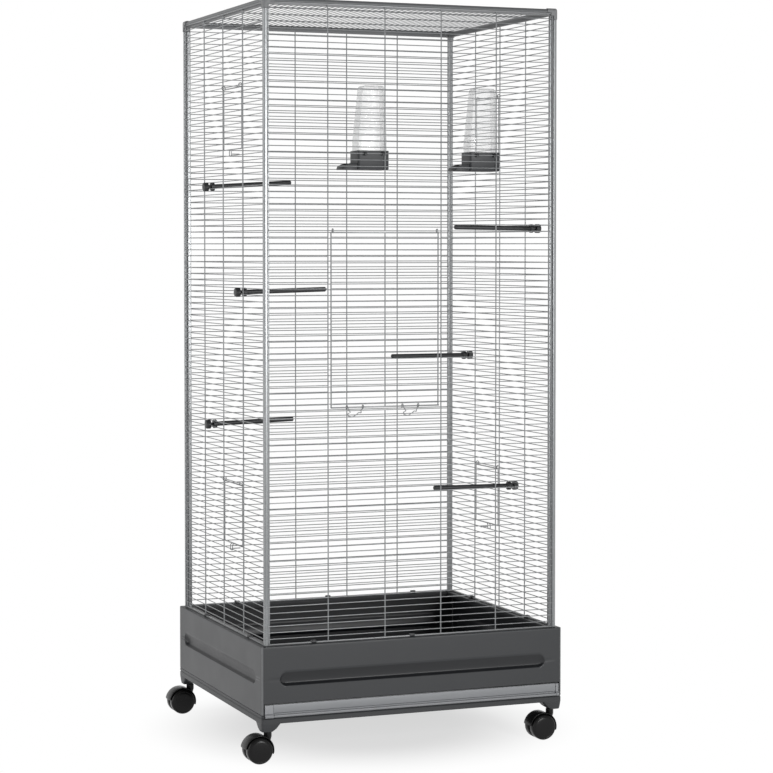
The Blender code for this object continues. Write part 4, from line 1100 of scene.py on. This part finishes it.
def towerRing(grow, height):
    look = tower
    clear = feeder["wall"] + look["gap"] + grow
    rise = (height - feeder["height"] - look["shoulder"]) / (look["height"] - look["shoulder"])
    left, right, ends = (max(0, rise) * part for part in pick(look, "taper backTaper endTaper"))
    half = feeder["width"] / 2 - clear
    depth = (clear + ends, feeder["depth"] - clear - ends)
    radius = max(look["radius"] - grow, look["tightest"])
    return raised(roundedRect((left - half, half - right), depth, radius, 6), [(height, 0)])[0]


def towerSkin(grow, scale):  # one face of the shell, from the socket up
    radius, bottom = tower["radius"], feeder["height"]
    top = bottom + tower["height"]
    heights = (bottom - tower["socket"], bottom + tower["shoulder"], top - radius)
    dome = [(amount * scale, drop * scale) for amount, drop in quarter(radius, 5)[1:]]
    rings = [towerRing(grow, height) for height in heights]
    return rings + [towerRing(grow + amount, top - grow - drop) for amount, drop in dome]


def makeTower(side):
    node = "feeder_reservoir_" + side
    shape = Shape().loft(towerSkin(tower["wall"], 0.7)[::-1] + towerSkin(0, 1))
    addPiece(node + "_shell", shape.move(feederPlace(side)), "clear_plastic", node, node)


for side in ("left", "right"):
    makeTrough(side)
    makeTower(side)
print("feeders made")


# Twin-wheel casters

caster = {
    "trail": 0.02, "inside": 0.0262, "fender": 0.002, "fenderHalf": 0.016, "round": 0.0009,
    "start": -16, "end": 172, "steps": 36, "close": 0.0007, "sides": 48,
    "webHalf": 0.0035, "webRadius": 0.019, "webEdge": 0.0004, "webGap": 0.0004,
    "axle": 0.004, "axleEnd": 0.0155, "stem": 0.004, "stemSoft": (0.0004, 0.0006),
    "boss": (  # radius, height over the floor
        (0.0043, 0.0466), (0.0043, 0.0574), (0.0067, 0.0574), (0.0075, 0.0566), (0.0075, 0.048),
        (0.0053, 0.04), (0.003, 0.038),
    ),
    "wheelFace": (  # radius, height over the inner face
        (0.0006, 0.018), (0.009, 0.0178), (0.016, 0.0173), (0.0195, 0.0168),
        (0.0202, 0.0163), (0.0209, 0.0166), (0.0224, 0.016),
    ),
    "tread": (  # depth under the tread, height
        (0.0006, 0.0146), (0, 0.013), (0, 0.0018), (0.0006, 0.0005), (0.0016, 0),
    ),
    "bore": ((0.0043, 0), (0.0043, 0.012), (0.0006, 0.0123)),
}


def makeHood(corner, place, axleHeight):
    lie = place @ shift((-caster["trail"], 0, axleHeight)) @ spin(90, "X")
    inner, half, start, end, steps = pick(caster, "inside fenderHalf start end steps")
    outer = inner + caster["fender"]
    rib = roundedRect((inner, outer), (-half, half), caster["round"], 3)
    rings = []
    for step in range(steps + 1):
        turn = radians(start + (end - start) * step / steps)
        ring = rib if 0 < step < steps else inset(rib, caster["close"])
        rings.append([lie @ Vector((x * cos(turn), x * sin(turn), z)) for x, z in ring])
    shape = Shape().loft(rings)
    thick, radius, edge, reach = pick(caster, "webHalf webRadius webEdge axleEnd")
    web = arc((0, 0), (inner + outer) / 2, start + 2, end - 2, 32)
    web += arc((0, 0), radius, end + 14, start + 346, 16)
    shape.sweep(web, softEnds(-thick, thick, edge), lie)
    shape.tube([lie @ Vector((0, 0, -reach)), lie @ Vector((0, 0, reach))], caster["axle"], 20)
    shape.turned(caster["boss"], 28, place)
    node = "caster_hood_" + corner
    addPiece(node + "_moulding", shape, "caster_plastic", "caster_" + corner, node)


def makeWheel(node, place, radius):  # a disc with a softly crowned face
    tread = [(radius - depth, height) for depth, height in caster["tread"]]
    shape = Shape().turned([*caster["wheelFace"], *tread, *caster["bore"]], caster["sides"], place)
    addPiece(node + "_disc", shape, "caster_plastic", node, node)


def makeStem(node, place):
    low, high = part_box(node)
    stem, (soft, tip) = pick(caster, "stem stemSoft")
    shape = Shape().turned([
        (0.0008, low.z), (stem - soft, low.z), (stem, low.z + soft), (stem, high.z - tip),
        (stem - tip, high.z), (0.0008, high.z),
    ], 32, place)
    addPiece(node + "_plated", shape, "stem_steel", frame["nodes"][node]["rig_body"], node)


def makeCasters():
    for corner in cornerSigns:
        stem = "caster_stem_" + corner
        centre = sum(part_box(stem), Vector()) / 2
        place = shift((centre.x, centre.y, 0))
        height = sum(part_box(f"caster_wheel_{corner}_front"), Vector()).z / 2
        makeStem(stem, place)
        makeHood(corner, place, height)
        for end, sign in (("front", -1), ("back", 1)):
            out = sign * (caster["webHalf"] + caster["webGap"])
            spot = place @ shift((-caster["trail"], out, height)) @ spin(-90 * sign, "X")
            makeWheel(f"caster_wheel_{corner}_{end}", spot, height)


makeCasters()
print("casters made")


# Studio: pale floor, white walls with a darker ceiling, and two soft lamps

studio = {
    "floorSize": 14, "paper": ((0.8, 0.8, 0.8), (0.81, 0.81, 0.81)),
    "glow": 0.64, "shadowEdge": (0.18, 0.46),
    "walls": 0.6, "ceiling": 0.06, "seenCeiling": 0.25, "ceilingEdge": (0.18, 0.6),
    "lamps": {
        "soft_key": {
            "place": (-3.1, 0.1, 1.1), "aim": (0, 0, 0.75), "size": (2.0, 2.0), "power": 33,
        },
        "soft_strip": {
            "place": (0.72, -3.1, 1.02), "aim": (-0.2, 0, 0.98), "size": (0.6, 0.9), "power": 40,
        },
    },
}


def makeFloor():
    half = studio["floorSize"] / 2
    corners = [(x * half, y * half, 0) for x, y in cornerSigns.values()]
    mesh = bpy.data.meshes.new("studio_floor")
    mesh.from_pydata(corners, [], [range(4)])
    finish = Finish("studio_floor_paper", Roughness=0.9, Specular_IOR_Level=0.0)
    finish.set(Base_Color=finish.tint(finish.noise(40, 3), *studio["paper"]))
    away = finish.node("VectorMath", {"operation": "LENGTH"}, {0: finish.place()}, "Value")
    white = finish.fade(away, *studio["shadowEdge"], studio["glow"]) * finish.seesBackground()
    glow = finish.node("Emission", {}, {})
    plain = Signal(finish, finish.shader.outputs[0])
    blend = finish.node("MixShader", {}, {0: white, 1: plain, 2: glow})
    finish.feed(finish.tree.nodes["Material Output"].inputs["Surface"], blend)
    mesh.materials.append(finish.material)
    link("studio_floor", mesh)


def makeWorld():
    world = bpy.data.worlds.new("studio")
    scene.world = world
    world.use_nodes = True
    graph = Graph(world.node_tree)
    direction = graph.node("TexCoord", {}, {}, "Generated")
    height = graph.node("SeparateXYZ", {}, {"Vector": direction}, "Z")
    walls, ceiling, seenCeiling, edge = pick(studio, "walls ceiling seenCeiling ceilingEdge")
    seen = graph.fade(height, *edge, 1, seenCeiling)
    soft = graph.fade(height, *edge, walls, ceiling)
    inputs = world.node_tree.nodes["Background"].inputs
    graph.feed(inputs["Color"], (1, 1, 1))
    graph.feed(inputs["Strength"], soft + (seen - soft) * graph.seesBackground())


def makeLamp(name, look):
    data = bpy.data.lights.new(name, "AREA")
    data.shape = "RECTANGLE"
    data.size, data.size_y = look["size"]
    data.energy = look["power"]
    lamp = link(name, data)
    lamp.location = middle + Vector(look["place"])
    aim = middle + Vector(look["aim"]) - lamp.location
    lamp.rotation_euler = aim.to_track_quat("-Z", "Y").to_euler()
    lamp.visible_camera = False


makeFloor()
makeWorld()
for name, look in studio["lamps"].items():
    makeLamp(name, look)
print("studio made")
